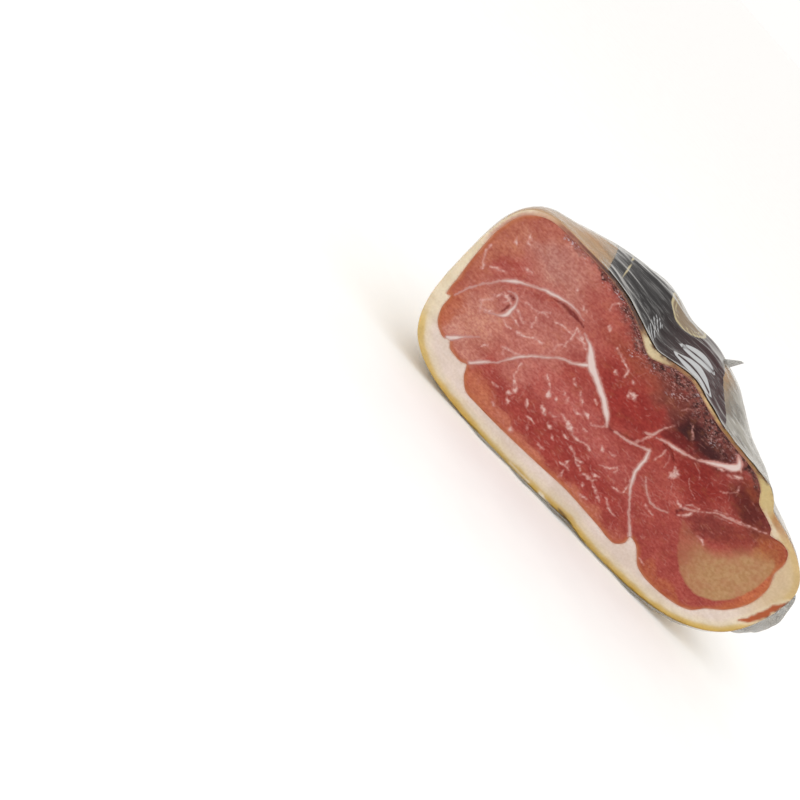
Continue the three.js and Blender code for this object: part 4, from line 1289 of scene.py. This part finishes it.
# How far back each section is, its scale, and how far it is drawn towards the butt
TAIL_SECTIONS = [(0, 1, 0), (23, 0.8, 5), (46, 0.45, 13)]
TAIL_TIP = (49, 30)
TAIL_RINGS = 20
TAIL_PLEATS = {"front": 0.05, "growth": 0.12, "width": 5}
# The pinched corner: its place, and its half thickness at three heights
CORNER = {"x": 34, "depth": 46, "taper": ((-2, 2, 6.4), (3.2, 1.1, 0.25))}


def film_tail():
    outline = spline(TAIL_EDGE, 6, True)[::-1]
    centre = outline.mean(axis=0)
    rings = []
    stations = np.array(TAIL_SECTIONS, float)
    for share in np.linspace(0, 1, TAIL_RINGS):
        y = TAIL_START + share * (stations[-1, 0] - TAIL_START)
        scale = np.interp(y, stations[:, 0], stations[:, 1])
        drawn = np.interp(y, stations[:, 0], stations[:, 2])
        ring = centre + (outline - centre) * scale
        spots = np.stack([ring[:, 0], ring[:, 1], np.full(len(ring), y / 3)], axis=1)
        pleats = TAIL_PLEATS["front"] + TAIL_PLEATS["growth"] * share
        pleats = pleats * ripple(spots, TAIL_PLEATS["width"], 51)
        ring = ring + (outline - centre) * pleats[:, None]
        ring[:, 0] = np.minimum(ring[:, 0], TAIL_REACH)
        rings.append(np.stack([ring[:, 0] - drawn, np.full(len(ring), y), ring[:, 1]], axis=1))
    points = np.vstack([*rings, [centre[0] - TAIL_TIP[1], TAIL_TIP[0], centre[1]],
                        [centre[0], TAIL_START + 1, centre[1]]])
    columns = len(outline)
    tip = TAIL_RINGS * columns
    faces = skin_faces(TAIL_RINGS, columns, 0, tip, flipped=True)
    faces += [((k + 1) % columns, k, tip + 1) for k in range(columns)]
    return points, faces


def film_corner():
    """A pinched corner of film that stands up on the label side."""
    top = height_over(CORNER["x"], ham_ring) + swelling(np.array([float(CORNER["x"])]))[0]
    outline = [(-4, -2), (1.5, -2), (4, 1.6), (7, 6.4), (4.6, 6), (0.4, 2.4)]
    points, faces = [], []
    for side in (-1, 1):
        for a, z in outline:
            thick = float(np.interp(z, *CORNER["taper"]))
            y = CORNER["depth"] + side * thick + 0.25 * z
            points.append((CORNER["x"] + a, y, top + z))
    count = len(outline)
    faces.append(tuple(range(count)))
    faces.append(tuple(range(2 * count - 1, count - 1, -1)))
    for k in range(count):
        after = (k + 1) % count
        faces.append((after, k, count + k, count + after))
    return np.array(points), faces


def crumb_tree(material):
    """Scatters small knobbly crumbs over the faces of a band."""
    tree = bpy.data.node_groups.new("crust_crumbs", "GeometryNodeTree")
    face = tree.interface
    face.new_socket("Geometry", in_out="INPUT", socket_type="NodeSocketGeometry")
    for name, kind in (("Crumbs per square metre", "NodeSocketFloat"),
                       ("Least size", "NodeSocketFloat"), ("Most size", "NodeSocketFloat"),
                       ("Seed", "NodeSocketInt")):
        face.new_socket(name, in_out="INPUT", socket_type=kind)
    face.new_socket("Geometry", in_out="OUTPUT", socket_type="NodeSocketGeometry")
    given = add(tree, "NodeGroupInput").node.outputs
    spots = add(tree, "GeometryNodeDistributePointsOnFaces", {
        "Mesh": given["Geometry"], "Density": given["Crumbs per square metre"],
        "Seed": given["Seed"],
    }, "Points")
    crumb = add(tree, "GeometryNodeMeshIcoSphere", {"Radius": 1.0, "Subdivisions": 2}, "Mesh")
    # sockets 2 and 3 are the limits of a random number, 0 and 1 those of a random vector
    size = add(tree, "FunctionNodeRandomValue", {
        2: given["Least size"], 3: given["Most size"], "Seed": given["Seed"],
    }, 1, data_type="FLOAT")
    turn = add(tree, "FunctionNodeRandomValue", {
        0: (0, -0.5, 0), 1: (6.28, 0.5, 0.6), "Seed": given["Seed"],
    }, 0, data_type="FLOAT_VECTOR")
    squash = add(tree, "ShaderNodeCombineXYZ", {
        "X": size, "Y": add(tree, MATH, [size, 0.45]), "Z": add(tree, MATH, [size, 0.5]),
    })
    placed = add(tree, "GeometryNodeInstanceOnPoints", {
        "Points": spots, "Instance": crumb, "Rotation": turn, "Scale": squash,
    })
    real = add(tree, "GeometryNodeRealizeInstances", {"Geometry": placed})
    smooth = add(tree, "GeometryNodeSetShadeSmooth", {"Geometry": real})
    finish = add(tree, "GeometryNodeSetMaterial", {"Geometry": smooth, "Material": material})
    add(tree, "NodeGroupOutput", [finish])
    return tree


DENT_WIDTH = 0.6               # of the dents that keep the crumbs from being round, mm
DENT_DEPTH = 0.06
CRUMBS = {
    "Crumbs per square metre": 200000.0, "Least size": 0.4 * MM, "Most size": 0.7 * MM, "Seed": 7,
}


def make_crumbs(band, material):
    points, faces = band
    carrier = mesh_piece("crumb_carrier", points, faces, material)
    tree = crumb_tree(material)
    scatter = carrier.modifiers.new("scatter", "NODES")
    scatter.node_group = tree
    for item in tree.interface.items_tree:
        if item.in_out == "INPUT" and item.name in CRUMBS:
            scatter[item.identifier] = CRUMBS[item.name]
    depsgraph = bpy.context.evaluated_depsgraph_get()
    mesh = bpy.data.meshes.new_from_object(carrier.evaluated_get(depsgraph))
    bpy.data.objects.remove(carrier)
    knobbly(mesh)
    mesh.name = "crust_crumbs"
    return put("crust_crumbs", mesh)


def knobbly(mesh):
    """Dents the crumbs so that no two are round."""
    for v in mesh.vertices:
        v.co += v.normal * noise.noise(v.co / (DENT_WIDTH * MM)) * DENT_DEPTH * MM


# The camera, as the photograph's framing gives it
CAMERA_AZIMUTH = -15.0
CAMERA_ELEVATION = 15.6
CAMERA_DISTANCE = 900.0
CAMERA_ROLL = 51.0             # the half leans in the picture, so the camera is rolled instead
FOCAL_PIXELS = 1342.0
PICTURE = 800
FACE_PIXEL = (607.0, 421.0)    # where the middle of the face comes in the picture
SENSOR = 36.0


def place_camera():
    a, e = math.radians(CAMERA_AZIMUTH), math.radians(CAMERA_ELEVATION)
    back = Vector((math.sin(a) * math.cos(e), -math.cos(a) * math.cos(e), math.sin(e)))
    right = (-back).cross(Vector((0, 0, 1))).normalized()
    up = right.cross(-back)
    c, s = math.cos(math.radians(CAMERA_ROLL)), math.sin(math.radians(CAMERA_ROLL))
    level = Matrix((c * right + s * up, c * up - s * right, back)).transposed()
    off = Vector(((FACE_PIXEL[0] - PICTURE / 2) / FOCAL_PIXELS,
                  (PICTURE / 2 - FACE_PIXEL[1]) / FOCAL_PIXELS, -1))
    turn = off.rotation_difference(Vector((0, 0, -1))).to_matrix()
    place = (Vector(ORIGIN) + back * CAMERA_DISTANCE) * MM
    data = bpy.data.cameras.new("camera")
    data.lens = FOCAL_PIXELS / PICTURE * SENSOR
    data.sensor_width = SENSOR
    camera = put("camera", data)
    camera.matrix_world = Matrix.Translation(place) @ (level @ turn).to_4x4()
    scene.camera = camera


FLOOR_SIZE = 60.0
SKY = {"Color": linear("fffdfb"), "Strength": 1.02}
# Soft lamps: place and size in metres, and power in watts
LAMPS = {"overhead": ((-0.2, -0.3, 1.6), 1.4, 3.4), "key": ((-0.9, -1.3, 0.9), 0.9, 1.2)}
LAMP_TARGET = (0, 0, 0.07)


def soft_light(name, place, size, power):
    data = bpy.data.lights.new(name, "AREA")
    data.size = size
    data.energy = power
    lamp = put(name, data)
    lamp.location = place
    lamp.rotation_euler = (Vector(LAMP_TARGET) - Vector(place)).to_track_quat("-Z", "Y").to_euler()


def set_studio():
    world = bpy.data.worlds.new("studio")
    world.use_nodes = True
    feed(world.node_tree, world.node_tree.nodes["Background"], SKY)
    scene.world = world
    for name, settings in LAMPS.items():
        soft_light(name, *settings)
    half = FLOOR_SIZE / 2
    mesh = bpy.data.meshes.new("floor")
    corners = [(-half, -half, 0), (half, -half, 0), (half, half, 0), (-half, half, 0)]
    mesh.from_pydata(corners, [], [(0, 1, 2, 3)])
    mesh.materials.append(paper_sweep())
    floor = put("floor", mesh)
    scene.view_settings.view_transform = "Standard"


place_camera()
set_studio()

lean, band = make_lean(cured_lean())
fat = make_fat(cured_fat())
film = make_film(shrink_film())
crumbs = make_crumbs(band, dried_crumb())

for piece, node, slot in ((lean, "lean_meat", "lean"), (fat, "fat_cover", "fat"),
                          (film, "bag_film", "film")):
    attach(piece, "root")
    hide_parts(node)
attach(crumbs, "root")
